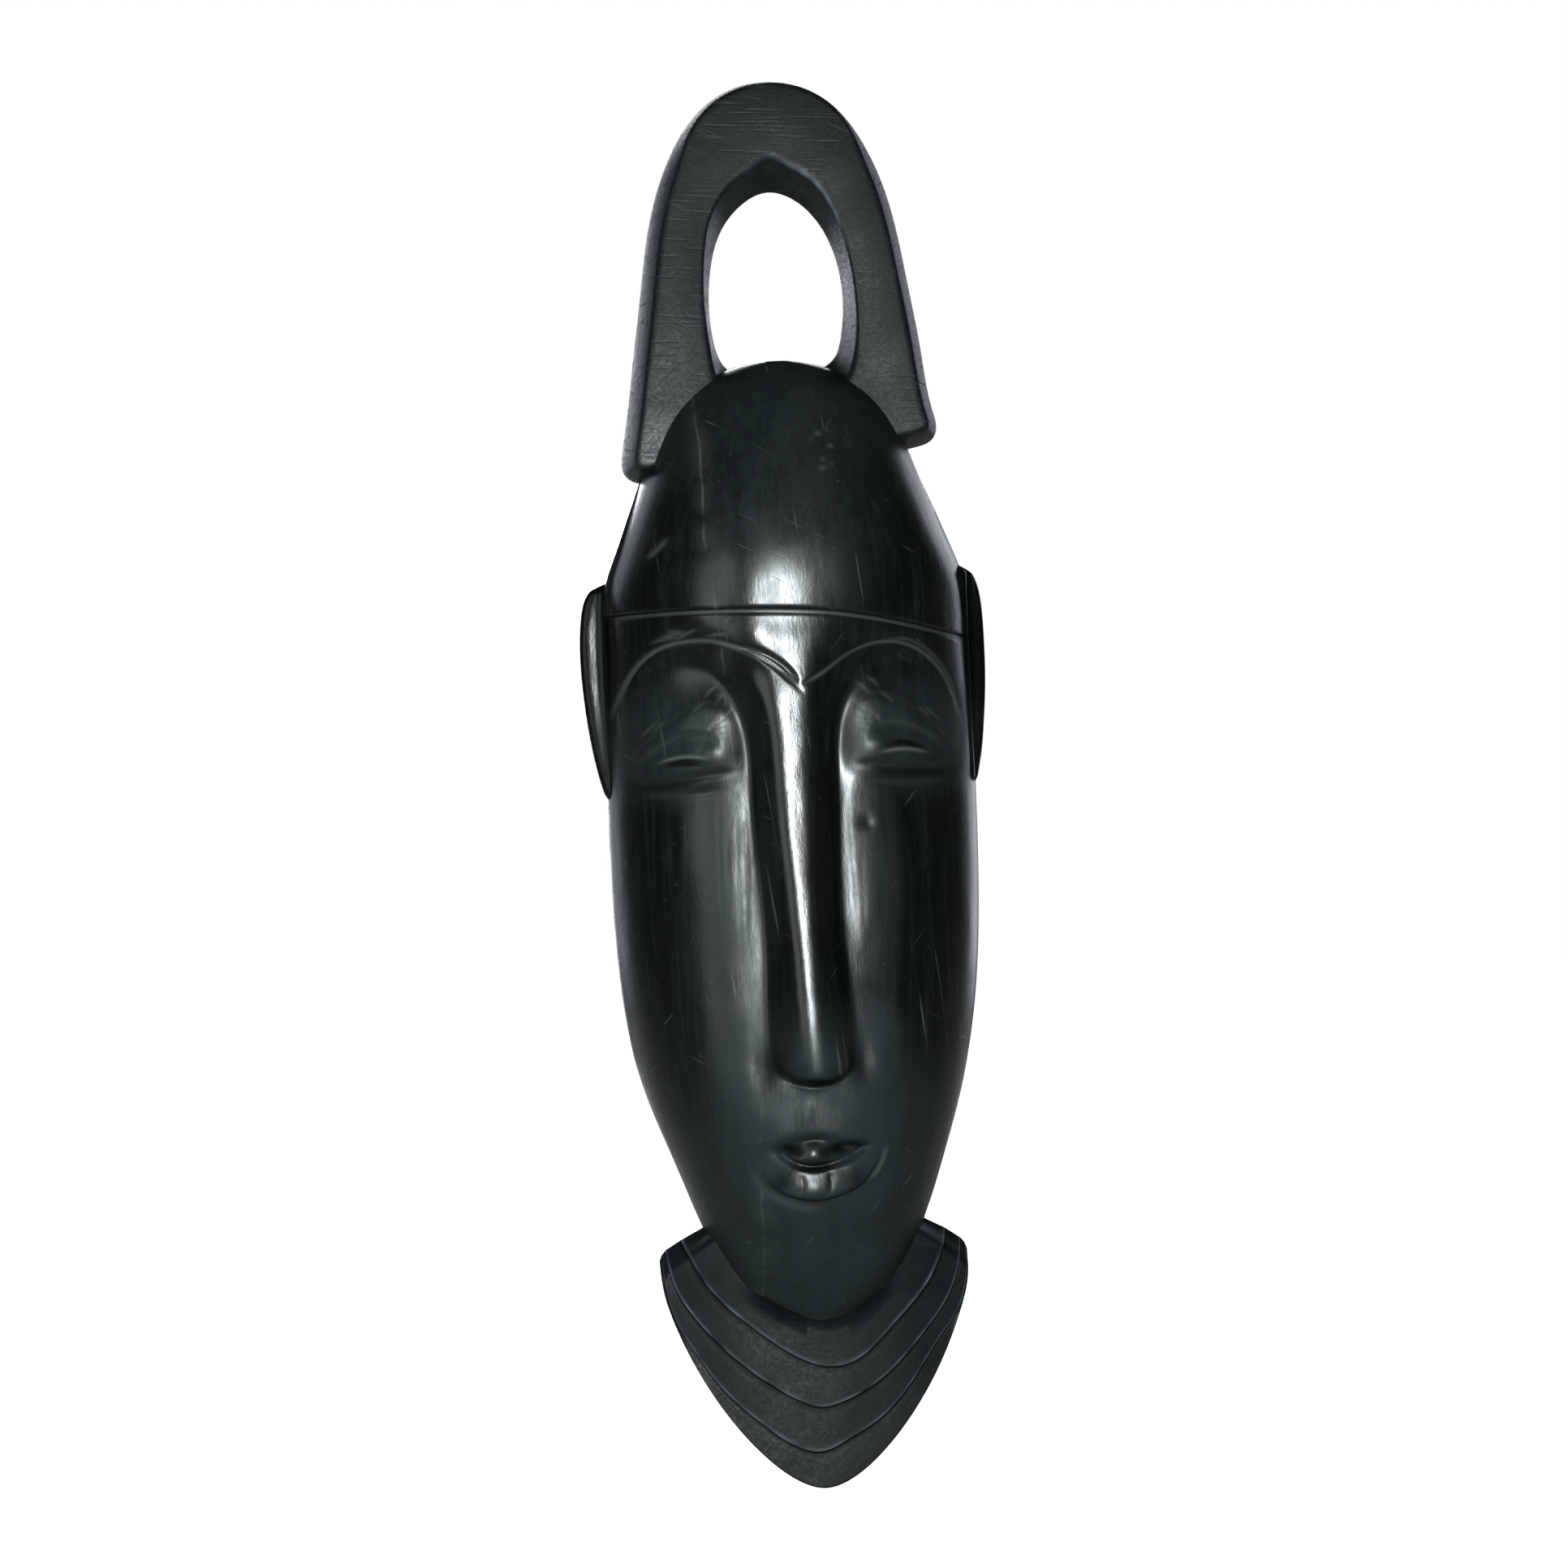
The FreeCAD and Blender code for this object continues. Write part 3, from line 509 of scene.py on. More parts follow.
def head_sheet(levels, warp):
    """Front sheet of points over the head between the levels, the outer rows warped onto a line."""
    middle, sides = 176, 14
    q = np.linspace(-0.94, 0.94, middle)
    turn = np.linspace(0, 1, sides + 1)[:-1]
    edge = -(1 - (1 - 0.94) * turn ** 2)
    u = np.concatenate([edge, q, -edge[::-1]])
    z = np.repeat(np.array(levels)[:, None], len(u), axis=1)
    x = head_middle(z) + u * HALF_WIDTH(z)
    z = warp(x, z)
    half = HALF_WIDTH(z)
    x = head_middle(z) + u * half
    depth = head_base(x, z, half)
    depth[:, 0] = 0.0
    depth[:, -1] = 0.0
    return x, depth, z, u


def levels_between(spans):
    """Heights from (low, high, step) spans that follow each other."""
    rows = []
    for low, high, step in spans:
        count = max(1, round((high - low) / step))
        rows.extend(np.linspace(low, high, count, endpoint=False))
    return rows + [spans[-1][1]]


def head_piece(name, levels, warp, carving, material, node_name):
    """One section of the head: its carved front, its back, and flat ends where it meets its neighbours."""
    x, depth, z, u = head_sheet(levels, warp)
    work = carving(x, z)
    fx, fd, fz = carve(x, depth, z, work.height * smooth((1 - np.abs(u)) / 0.06))
    rows, columns = x.shape
    bx, bd = hollow_rows(z[:, :1], BACK_COLUMNS)
    bz = np.array([np.interp(bx[r], x[r], z[r]) for r in range(rows)])
    bd = bd + np.where(bd > 3.0, gouge_marks(bx, bz), 0.0)
    front = to_frame(fx, fd, fz)
    back = to_frame(bx[:, 1:-1], bd[:, 1:-1], bz[:, 1:-1])
    ring = np.concatenate([front, back[:, ::-1]], axis=1)
    count = ring.shape[1]
    faces = grid_faces(rows, count, closed=True)
    faces.append(tuple(range(count)))
    faces.append(tuple(range((rows - 1) * count, rows * count)))
    piece = new_piece(name, ring, faces, material, node_name)
    for share, values in (("pale", work.pale), ("dark", work.dark)):
        paint(piece, share, np.concatenate([values, np.zeros((rows, count - columns))], axis=1))
    return piece


# --- The crest -----------------------------------------------------------------
# Its outline at the back, from the middle of its foot round by the left, and the hole at both faces.
CREST_RIM = [(0.0, 291.0), (-20.0, 290.0), (-36.0, 287.6), (-41.5, 287.3), (-44.8, 289.8), (-45.3, 294.5),
             (-43.9, 303.0), (-41.0, 322.0), (-38.4, 339.0), (-36.3, 353.0), (-33.0, 367.4), (-28.2, 379.6),
             (-21.0, 390.6), (-11.5, 397.6), (0.0, 400.0), (11.5, 397.6), (21.0, 390.6), (28.2, 379.6),
             (33.0, 367.4), (36.3, 353.0), (38.6, 339.0), (41.2, 322.0), (43.9, 304.5), (44.7, 299.5),
             (43.8, 296.9), (38.0, 294.2), (20.0, 292.0), (0.0, 291.0)]
HOLE_BACK = [(0.5, 317.9), (-4.5, 318.0), (-10.0, 316.6), (-15.0, 319.5), (-17.6, 326.0), (-18.6, 336.0),
             (-17.8, 347.0), (-14.6, 357.5), (-8.5, 365.0), (-0.8, 368.5), (7.5, 365.6), (14.5, 357.5),
             (18.4, 347.0), (19.5, 336.0), (18.5, 326.5), (15.8, 320.0), (10.0, 317.6), (5.5, 318.4),
             (0.5, 317.9)]
HOLE_FRONT = [(0.5, 309.0), (-9.0, 309.5), (-17.0, 313.5), (-19.2, 321.0), (-20.6, 335.0), (-20.0, 351.0),
              (-17.6, 361.5), (-10.8, 370.8), (-4.0, 375.6), (-1.2, 377.6), (3.5, 375.8), (10.2, 371.6),
              (16.4, 363.0), (20.0, 352.5), (22.3, 335.0), (21.0, 320.0), (17.0, 312.0), (9.0, 309.5),
              (0.5, 309.0)]
CREST_DEPTH = spline([(286.0, 20.4), (320.0, 19.4), (350.0, 17.4), (380.0, 14.8), (400.0, 12.8)])
CREST_MIDDLE = (0.0, 340.0)
BACK_RELIEF = 0.35  # how far the crest's and the collar's flat backs stand in from the head's


def closed_path(points, count):
    return path(points, count + 1)[:-1]


def at_angles(contour, angles):
    """The points of a contour in the directions of these angles from the crest's middle."""
    own = np.unwrap(np.arctan2(contour[:, 1] - CREST_MIDDLE[1], contour[:, 0] - CREST_MIDDLE[0]))
    turns = np.concatenate([own, own + np.sign(own[-1] - own[0]) * 2 * math.pi])
    order = np.argsort(turns)
    wanted = (angles - turns[order][0]) % (2 * math.pi) + turns[order][0]
    doubled = np.concatenate([contour, contour])[order]
    return np.stack([np.interp(wanted, turns[order], doubled[:, k]) for k in (0, 1)], axis=1)


def make_crest():
    """The arch: for every direction from its middle, a ring of points round its cross-section."""
    rim = closed_path(CREST_RIM, 460)
    angles = np.arctan2(rim[:, 1] - CREST_MIDDLE[1], rim[:, 0] - CREST_MIDDLE[0])
    hole_back = at_angles(closed_path(HOLE_BACK, 900), angles)
    hole_front = at_angles(closed_path(HOLE_FRONT, 900), angles)
    outward = np.roll(rim, -1, axis=0) - np.roll(rim, 1, axis=0)
    outward = np.stack([-outward[:, 1], outward[:, 0]], axis=1) / np.hypot(*outward.T)[:, None]
    outward *= np.sign(((rim - CREST_MIDDLE) * outward).sum(axis=1))[:, None]
    draft = 3.8 - 2.4 * smooth((rim[:, 1] - 372.0) / 22.0)
    shoulder = rim - outward * draft[:, None]
    rings = []
    pale = []
    # a painted highlight along the front edge of the hole, strongest at its upper right and broken up by the
    # wave
    painted_glint = np.exp(-((np.degrees(angles) - 62.0) / 26.0) ** 2) * (0.6 + 0.4 * wave(*rim.T, 9.0, 41))

    def between(a, b, k):
        return a + (b - a) * k

    def add(flat, share, lift=0.0, edge=0.0):
        """A ring of points at this share of the crest's depth, or just over it, carrying the painted
        highlight where edge is given.
        """
        rings.append(to_frame(flat[:, 0], CREST_DEPTH(flat[:, 1]) * share + lift, flat[:, 1]))
        pale.append(edge * painted_glint)

    add(between(hole_back, rim, 0.5), 0.0, BACK_RELIEF)
    add(between(hole_back, rim, 0.97), 0.0, BACK_RELIEF)
    for k, share in ((0.0, 0.03), (0.02, 0.08), (0.14, 0.25), (0.34, 0.48), (0.58, 0.71), (0.78, 0.87),
                     (0.9, 0.95), (1.0, 0.985)):
        add(between(rim, shoulder, k), share)
    for k in (0.05, 0.12, 0.22, 0.34, 0.46, 0.58, 0.7, 0.8, 0.88, 0.94):
        flat = between(shoulder, hole_front, k)
        crown = 0.25 * math.sin(math.pi * min(1.0, k * 1.1)) - 0.1
        add(flat, 1.0, crown + 0.25 * wave(flat[:, 0], flat[:, 1], 24.0, 11))
    add(between(shoulder, hole_front, 0.975), 0.985, 0.0, 1.0)
    for k, share in ((0.0, 0.95), (0.08, 0.88), (0.3, 0.68), (0.6, 0.4), (0.85, 0.15), (0.97, 0.045),
                     (1.0, 0.01)):
        add(between(hole_front, hole_back, k), share, 0.0, 1.0 if k == 0.0 else 0.0)
    points = np.stack(rings, axis=1)
    columns = points.shape[1]
    points = np.concatenate([points, points[:1]])
    faces = grid_faces(len(points), columns, closed=True)
    last = (len(points) - 1) * columns
    faces = [tuple(i - last if i >= last else i for i in face) for face in faces]
    piece = new_piece("crest_loop", points[:-1], faces, FILED, "crest_loop")
    paint(piece, "pale", np.array(pale).T)
    return piece


# --- The ears --------------------------------------------------------------------
# Each one's side, the distance of its bead from the middle, and its rim as (height, distance).
EARS = {
    "left_ear": (-1, 51.4, [(190.5, 50.8), (197.5, 53.9), (204.0, 55.8), (213.0, 57.6), (226.0, 59.2),
                            (240.0, 59.8), (250.0, 59.0), (256.5, 56.6), (259.5, 53.5), (261.3, 50.8)]),
    "right_ear": (1, 50.0, [(191.5, 49.6), (199.0, 51.6), (207.0, 53.2), (216.0, 54.2), (227.0, 55.0),
                            (240.0, 55.1), (250.0, 54.6), (256.0, 53.3), (260.0, 51.2), (262.3, 49.4)]),
}
EAR_SHADE = 0.6


def make_ear(name):
    """A flange behind the temple, with a rounded bead where it leaves the head."""
    side, bead, rim = EARS[name]
    rows = []
    for z in np.linspace(rim[0][0], rim[-1][0], 110):
        outer = max(float(spline(rim)(z)), bead - 0.6)
        spread = outer - bead + 0.6
        grow = float(smooth(spread / 3.0))
        ends = float(smooth((z - rim[0][0]) / 9.0) * smooth((rim[-1][0] - z) / 5.0))
        front = 9.5 + 3.5 * ends
        line = [(bead - 6.0, front + 5.5), (bead - 2.2, front + 5.4 * ends), (bead - 0.2, front + 4.4 * ends),
                (bead + 0.5 * grow, front + 1.6 * ends), (bead + 0.28 * spread, front - 0.8),
                (bead + 0.6 * spread, front - 1.2), (outer - 0.35 * grow, front - 2.0),
                (outer, front - 4.6), (outer - 0.8 * grow, 4.0), (outer - 0.5 * spread - 1.0, 2.0),
                (bead - 6.0, 1.6)]
        flat = path(line, 40)
        sunk = 4.0 * (1 - ends)
        uneven = 0.12 * wave(flat[:, 0], z + flat[:, 1], 12.0, 5)
        rows.append(to_frame(side * (flat[:, 0] - sunk), flat[:, 1] + uneven, z))
    points = np.array(rows)
    count = points.shape[1]
    faces = grid_faces(len(points), count, closed=True)
    faces += [tuple(range(count)), tuple(range((len(points) - 1) * count, len(points) * count))]
    piece = new_piece(name, points, faces, POLISHED, name)
    # painted shade over the whole ear
    paint(piece, "dark", np.full(len(points) * count, EAR_SHADE))
    return piece


# --- The collar --------------------------------------------------------------------
# Lines across the collar from its left shoulder round to its right: hidden root, step edges, rim.
COLLAR_LINES = [
    [(-22.0, 80.0), (-17.5, 70.0), (-9.5, 62.0), (0.0, 58.5), (9.5, 62.0), (17.5, 70.0), (22.0, 80.0)],
    [(-38.0, 71.6), (-32.0, 59.5), (-18.8, 46.2), (-4.5, 36.6), (0.5, 34.9), (7.0, 35.2), (21.0, 46.0),
     (32.3, 59.0), (37.6, 71.8)],
    [(-42.4, 68.9), (-40.9, 60.0), (-35.4, 50.0), (-20.6, 34.6), (-6.0, 25.0), (-0.8, 23.3), (5.0, 24.4),
     (16.4, 30.2), (29.5, 43.0), (37.6, 54.0), (41.8, 68.9)],
    [(-43.6, 67.4), (-42.7, 57.5), (-40.2, 48.4), (-36.2, 41.2), (-28.4, 29.6), (-15.5, 17.4), (-7.5, 12.0),
     (-0.5, 10.6), (6.0, 13.2), (17.4, 20.2), (28.4, 33.0), (34.4, 41.5), (39.8, 48.8), (42.5, 57.5),
     (43.0, 67.4)],
    [(-44.2, 65.8), (-43.4, 57.5), (-40.7, 48.0), (-35.6, 36.2), (-27.4, 22.3), (-16.4, 9.2), (-8.0, 2.6),
     (0.0, 0.0), (8.0, 2.6), (16.4, 9.2), (27.4, 22.3), (35.6, 36.2), (40.6, 48.0), (43.3, 57.5),
     (43.6, 65.6)],
]
COLLAR_FRONT, COLLAR_STEP, COLLAR_BEND = 20.0, 2.4, 120.0
SHOULDER_SHARE, SHOULDER_DROP = 0.05, 3.0  # of each line's length, and how far its ends fall away
CHIN_FILLET = 2.5
# Rows of points on a tread, as shares of its width, with how much shade is painted at its root and how much
# highlight is painted along its edge.
TREAD_ROOT = ((0.0, 0.9), (0.02, 0.9), (0.1, 0.45))
TREAD_TOP = ((0.2, 0), (0.32, 0), (0.45, 0), (0.58, 0), (0.7, 0), (0.8, 0), (0.87, 0), (0.92, 0.15),
             (0.95, 0.5), (0.975, 0.9))


def shoulders(count):
    """Along a collar line: 1, falling to 0 at both ends."""
    along = np.linspace(0, 1, count)
    return smooth(np.minimum(along, 1 - along) / SHOULDER_SHARE)


def collar_fall(x):
    """How far the collar's front falls back, round the neck and at its shoulders."""
    bend = COLLAR_BEND - np.sqrt(COLLAR_BEND ** 2 - x ** 2)
    return bend + SHOULDER_DROP * (1 - shoulders(len(x))) ** 1.5


def make_collar():
    """Four treads that step down outwards, with crisp edges, and a flat back."""
    lines = [path(line, 280) for line in COLLAR_LINES]
    rim_level = COLLAR_FRONT - COLLAR_STEP * (len(lines) - 2)
    rows = []
    flats = []
    pale = []
    dark = []

    def add(flat, depth, edge=0.0, root=0.0):
        x, z = flat.T
        flats.append((x, z))
        # painted highlight along the step edges, broken up by the wave, and painted shade at the step roots
        pale.append(edge * np.clip(0.55 + 0.8 * wave(x, z, 9.0, 31), 0.08, 1.0))
        dark.append(root + 0.0 * x)
        shoulder = shoulders(len(x))
        stepped = rim_level + (depth - rim_level) * shoulder
        level = stepped - collar_fall(x) + 0.18 * wave(x, z, 16.0, 21) * shoulder
        inside = np.maximum(z, 49.0)
        chin = np.where(z > 49.0, head_base(x, inside, HALF_WIDTH(inside)), 0.0) * smooth((66.0 - z) / 10.0)
        rows.append(to_frame(x, larger(level, chin - 0.4, CHIN_FILLET), z))

    for k, (inner, outer) in enumerate(zip(lines, lines[1:])):
        top = COLLAR_FRONT - COLLAR_STEP * k
        for t, root in TREAD_ROOT:
            add(inner + (outer - inner) * t, top - 0.5, 0.0, root if k else 0.0)
        for t, edge in TREAD_TOP:
            share = 1 - (1 - t) * (0.6 if k == 0 and t > 0.8 else 1.0)
            add(inner + (outer - inner) * share, top - 0.5 + 0.6 * share, edge if k < 3 else 0.0)
        add(inner + (outer - inner) * 0.993, top - 0.35, 0.9 if k < 3 else 0.0)
    front_rows = len(rows)
    rim = lines[-1]
    for share in (0.93, 0.75, 0.5, 0.25, 0.06):
        rows.append(to_frame(rim[:, 0], (rim_level - collar_fall(rim[:, 0])) * share, rim[:, 1]))
    for x, z in flats[::-1]:
        rows.append(to_frame(x, BACK_RELIEF + 0.0 * x, z))
    points = np.array(rows).transpose(1, 0, 2)
    count = points.shape[1]
    faces = grid_faces(len(points), count, closed=True)
    for start in (0, (len(points) - 1) * count):
        faces += [(start + k, start + k + 1, start + count - 2 - k, start + count - 1 - k)
                  for k in range(front_rows - 1)]
        faces.append(tuple(range(start + front_rows - 1, start + count - front_rows + 1)))
    piece = new_piece("collar", points, faces, FILED, "collar")
    for name, values in (("pale", pale), ("dark", dark)):
        values += [np.zeros(len(rim))] * (len(rows) - len(values))
        paint(piece, name, np.array(values).T)
    return piece


# --- Materials ---------------------------------------------------------------------
def material_with(name):
    """A new material, its nodes and its surface shader."""
    material = bpy.data.materials.new(name)
    material.use_nodes = True
    tree = material.node_tree
    return material, tree, tree.nodes["Principled BSDF"]


def node(tree, kind, setup=(), **inputs):
    """A shader node with its settings, and its inputs set or linked by name."""
    made = tree.nodes.new("ShaderNode" + kind)
    for key, value in dict(setup).items():
        setattr(made, key, value)
    for key, value in inputs.items():
        numbered = key[0] == "i" and key[1:].isdigit()
        socket = made.inputs[int(key[1:]) if numbered else key.replace("_", " ")]
        if isinstance(value, bpy.types.NodeSocket):
            tree.links.new(value, socket)
        else:
            socket.default_value = value
    return made


def calc(tree, operation, a, b=0.0, c=0.0):
    return node(tree, "Math", {"operation": operation}, i0=a, i1=b, i2=c).outputs[0]


def plus(tree, a, b):
    return calc(tree, "ADD", a, b)


def minus(tree, a, b):
    return calc(tree, "SUBTRACT", a, b)


def times(tree, a, b):
    return calc(tree, "MULTIPLY", a, b)


def remap(tree, value, low, high, to_low=0.0, to_high=1.0):
    return node(tree, "MapRange", {"interpolation_type": "SMOOTHSTEP"}, Value=value, From_Min=low,
                From_Max=high, To_Min=to_low, To_Max=to_high).outputs["Result"]


def blend_colours(tree, share, a, b):
    made = node(tree, "Mix", {"data_type": "RGBA"}, Factor=share)
    for socket, value in ((made.inputs[6], a), (made.inputs[7], b)):
        if isinstance(value, bpy.types.NodeSocket):
            tree.links.new(value, socket)
        else:
            socket.default_value = (*value, 1)
    return made.outputs[2]


def place_in(tree):
    """Where on the object: its vector, x, and z from the collar's tip, in metres."""
    where = node(tree, "TexCoord").outputs["Object"]
    parts = node(tree, "SeparateXYZ", Vector=where).outputs
    return where, parts[0], minus(tree, parts[2], TIP)


def noise(tree, where, scale, stretch=(1, 1, 1), turn=(0, 0, 0), detail=4.0, roughness=0.55):
    shrink = [1 / k for k in stretch]
    moved = node(tree, "Mapping", {"vector_type": "TEXTURE"}, Vector=where, Rotation=turn, Scale=shrink)
    made = node(tree, "TexNoise", Vector=moved.outputs[0], Scale=scale, Detail=detail, Roughness=roughness)
    return made.outputs["Fac"]


def oval(tree, x, z, at, size):
    """1 in the middle of an oval on the front and 0 at its edge; at and size are in millimetres."""
    across = calc(tree, "DIVIDE", minus(tree, x, at[0] * MM), size[0] * MM)
    up = calc(tree, "DIVIDE", minus(tree, z, at[1] * MM), size[1] * MM)
    square = plus(tree, times(tree, across, across), times(tree, up, up))
    inside = remap(tree, square, 1.0, 0.0)
    return times(tree, inside, inside)


def scratches(tree, where, angle, low, high, length=40.0, width=1300.0):
    """Short fine lines at an angle from the horizontal, 1 where there is one."""
    return remap(tree, noise(tree, where, 1.0, (length, 60.0, width), (0, angle, 0), 2.0, 0.4), low, high)


def flecks(tree, where, scale, radius, share):
    """Small pale dots, in this share of the cells."""
    dots = node(tree, "TexVoronoi", {"feature": "F1"}, Vector=where, Scale=scale)
    near = remap(tree, dots.outputs["Distance"], radius, radius * 0.4)
    chosen = node(tree, "SeparateColor", Color=dots.outputs["Color"]).outputs[0]
    return times(tree, near, calc(tree, "LESS_THAN", chosen, share))


def strongest(tree, values):
    """The largest of some values at each point."""
    top = values[0]
    for value in values[1:]:
        top = calc(tree, "MAXIMUM", top, value)
    return top


def pale_vein(tree, where, x, z):
    """A long pale check in the grain, that wanders down the left of the brow and nose."""
    wander = times(tree, minus(tree, noise(tree, where, 30.0, (0.2, 0.2, 1)), 0.5), 0.006)
    lean = remap(tree, z, 0.14, 0.31, -0.0165, -0.0255)
    off = calc(tree, "ABSOLUTE", plus(tree, minus(tree, x, lean), wander))
    core = remap(tree, off, 0.0007, 0.0001)
    halo = times(tree, remap(tree, off, 0.0045, 0.0), 0.3)
    broken = remap(tree, noise(tree, where, 90.0, (0.3, 0.3, 1)), 0.38, 0.6)
    return times(tree, strongest(tree, [core, halo]), broken)


# Where the face has lost its polish: (x, z), its reach each way, and how dull it is.
DULL_PATCHES = [
    ((0, 96), (52, 58), 1.0), ((-20, 120), (15, 34), 0.8), ((16, 121), (14, 32), 0.8),
    ((-38, 213), (27, 25), 0.8), ((36, 213), (26, 25), 0.8), ((-22, 214), (17, 20), 0.4),
    ((19, 214), (17, 20), 0.6), ((-20, 175), (14, 62), 0.6), ((18, 175), (12, 56), 0.5),
    ((0, 278), (40, 46), 0.4),
]


def polished_wood():
    """Near-black oiled wood: green-black with brown clouds, upright grain, flecks and old scratches."""
    material, tree, shader = material_with("polished_dark_wood")
    where, x, z = place_in(tree)
    grain = noise(tree, where, 420.0, (1, 1, 0.07), detail=6.0, roughness=0.7)
    cloud = noise(tree, where, 38.0, (1, 1, 0.45), detail=5.0, roughness=0.6)
    rubbed = noise(tree, where, 75.0, (1, 1, 0.3), detail=6.0, roughness=0.75)
    dark = blend_colours(tree, remap(tree, cloud, 0.35, 0.68), (0.0016, 0.0030, 0.0032),
                         (0.0046, 0.0046, 0.0042))
    colour = blend_colours(tree, remap(tree, grain, 0.42, 0.78), dark, (0.0095, 0.0140, 0.0140))
    lips = oval(tree, x, z, (-1.6, 92.5), (9.0, 12.0))
    patches = [times(tree, oval(tree, x, z, at, size), share) for at, size, share in DULL_PATCHES]
    ends = [remap(tree, z, 0.090, 0.068), times(tree, remap(tree, z, 0.275, 0.305), 0.5)]
    dull = strongest(tree, ends + patches)
    dull = calc(tree, "MINIMUM", dull, 1.0)
    dull = times(tree, dull, minus(tree, 1.0, times(tree, lips, 0.8)))
    dull = times(tree, dull, remap(tree, rubbed, 0.3, 0.62, 0.6, 1.0))
    colour = blend_colours(tree, times(tree, dull, 0.85), colour, (0.0230, 0.0325, 0.0330))
    lines = strongest(tree, [scratches(tree, where, 0.5, 0.72, 0.8), scratches(tree, where, -0.9, 0.73, 0.81),
                             scratches(tree, where, 1.45, 0.70, 0.8, 30.0, 900.0)])
    # pale marks: the scratches, flecks and vein, and the pale attribute, which holds pale knife cuts, the
    # headband's burr, pale lines along ledges and under the chin, and a painted highlight along each eye's
    # slit
    marks = strongest(tree, [times(tree, lines, 0.55), flecks(tree, where, 95.0, 0.035, 0.3),
                             times(tree, flecks(tree, where, 300.0, 0.09, 0.22), 0.5),
                             times(tree, pale_vein(tree, where, x, z), 0.6),
                             attribute(tree, "pale")])
    colour = blend_colours(tree, marks, colour, (0.085, 0.098, 0.092))
    # painted shade: the dark attribute turns hollows, creases, the valleys beside the nose and the ears near
    # black, and below takes their shine away
    shade = attribute(tree, "dark")
    colour = blend_colours(tree, times(tree, shade, 0.9), colour, (0.0012, 0.0016, 0.0017))
    tree.links.new(colour, shader.inputs["Base Color"])
    gloss = plus(tree, remap(tree, rubbed, 0.35, 0.75, 0.21, 0.34), times(tree, marks, 0.2))
    tree.links.new(plus(tree, gloss, times(tree, dull, 0.25)), shader.inputs["Roughness"])
    shine = times(tree, remap(tree, dull, 0.2, 1.0, 0.5, 0.17), remap(tree, shade, 0.0, 1.0, 1.0, 0.12))
    tree.links.new(shine, shader.inputs["Specular IOR Level"])
    height = minus(tree, times(tree, grain, 0.5), lines)
    bump = node(tree, "Bump", Height=height, Strength=0.35, Distance=0.00006)
    slow = node(tree, "Bump", Height=rubbed, Strength=0.25, Distance=0.0006, Normal=bump.outputs[0])
    tree.links.new(slow.outputs[0], shader.inputs["Normal"])
    return material


def attribute(tree, name):
    """What paint() left on the piece under this name."""
    return node(tree, "Attribute", {"attribute_name": name}).outputs["Fac"]


def filed_wood():
    """The same wood left from the file: greyer and matter, with sets of fine parallel marks."""
    material, tree, shader = material_with("filed_dark_wood")
    where, x, z = place_in(tree)
    cloud = noise(tree, where, 60.0, detail=6.0, roughness=0.65)
    speck = noise(tree, where, 900.0, detail=3.0, roughness=0.7)
    level = scratches(tree, where, 0.06, 0.56, 0.74, 60.0, 1100.0)
    slant = scratches(tree, where, -0.75, 0.6, 0.76, 60.0, 1200.0)
    other = scratches(tree, where, 0.45, 0.62, 0.78, 50.0, 1200.0)
    where_filed = remap(tree, noise(tree, where, 45.0), 0.42, 0.62)
    lines = strongest(tree, [times(tree, level, where_filed), times(tree, slant, 0.7),
                             times(tree, other, 0.5)])
    low_leg = oval(tree, x, z, (-37, 296), (14, 16))
    colour = blend_colours(tree, remap(tree, cloud, 0.3, 0.7), (0.0050, 0.0072, 0.0080),
                           (0.0098, 0.0130, 0.0140))
    on_crest = remap(tree, z, 0.08, 0.20)
    seen = times(tree, lines, remap(tree, on_crest, 0.0, 1.0, 0.12, 0.4))
    colour = blend_colours(tree, seen, colour, (0.045, 0.052, 0.054))
    # painted highlight from the pale attribute along the collar's step edges and the crest hole's upper right
    # edge, and painted shade from the dark attribute at the steps' roots
    colour = blend_colours(tree, attribute(tree, "pale"), colour, (0.15, 0.18, 0.18))
    colour = blend_colours(tree, attribute(tree, "dark"), colour, (0.0010, 0.0014, 0.0015))
    colour = blend_colours(tree, times(tree, flecks(tree, where, 110.0, 0.04, 0.3), 0.8), colour,
                           (0.12, 0.13, 0.125))
    tree.links.new(colour, shader.inputs["Base Color"])
    rough = plus(tree, remap(tree, speck, 0.3, 0.7, 0.36, 0.5), times(tree, lines, 0.12))
    tree.links.new(rough, shader.inputs["Roughness"])
    shine = plus(tree, remap(tree, on_crest, 0.0, 1.0, 0.1, 0.2), times(tree, low_leg, 0.18))
    tree.links.new(shine, shader.inputs["Specular IOR Level"])
    cut = times(tree, lines, remap(tree, on_crest, 0.0, 1.0, 0.3, 1.0))
    height = minus(tree, times(tree, speck, 0.5), cut)
    bump = node(tree, "Bump", Height=height, Strength=0.6, Distance=0.00009)
    slow = node(tree, "Bump", Height=cloud, Strength=0.3, Distance=0.0007, Normal=bump.outputs[0])
    tree.links.new(slow.outputs[0], shader.inputs["Normal"])
    return material


def plated_steel():
    """Zinc-plated wire, a little dull and spotted."""
    material, tree, shader = material_with("plated_steel")
    where = place_in(tree)[0]
    spots = noise(tree, where, 900.0, detail=5.0)
    colour = blend_colours(tree, remap(tree, spots, 0.4, 0.7), (0.52, 0.52, 0.53), (0.33, 0.31, 0.28))
    tree.links.new(colour, shader.inputs["Base Color"])
    tree.links.new(remap(tree, spots, 0.3, 0.7, 0.28, 0.5), shader.inputs["Roughness"])
    shader.inputs["Metallic"].default_value = 1.0
    return material


# --- The pieces --------------------------------------------------------------------
POLISHED = polished_wood()
FILED = filed_wood()


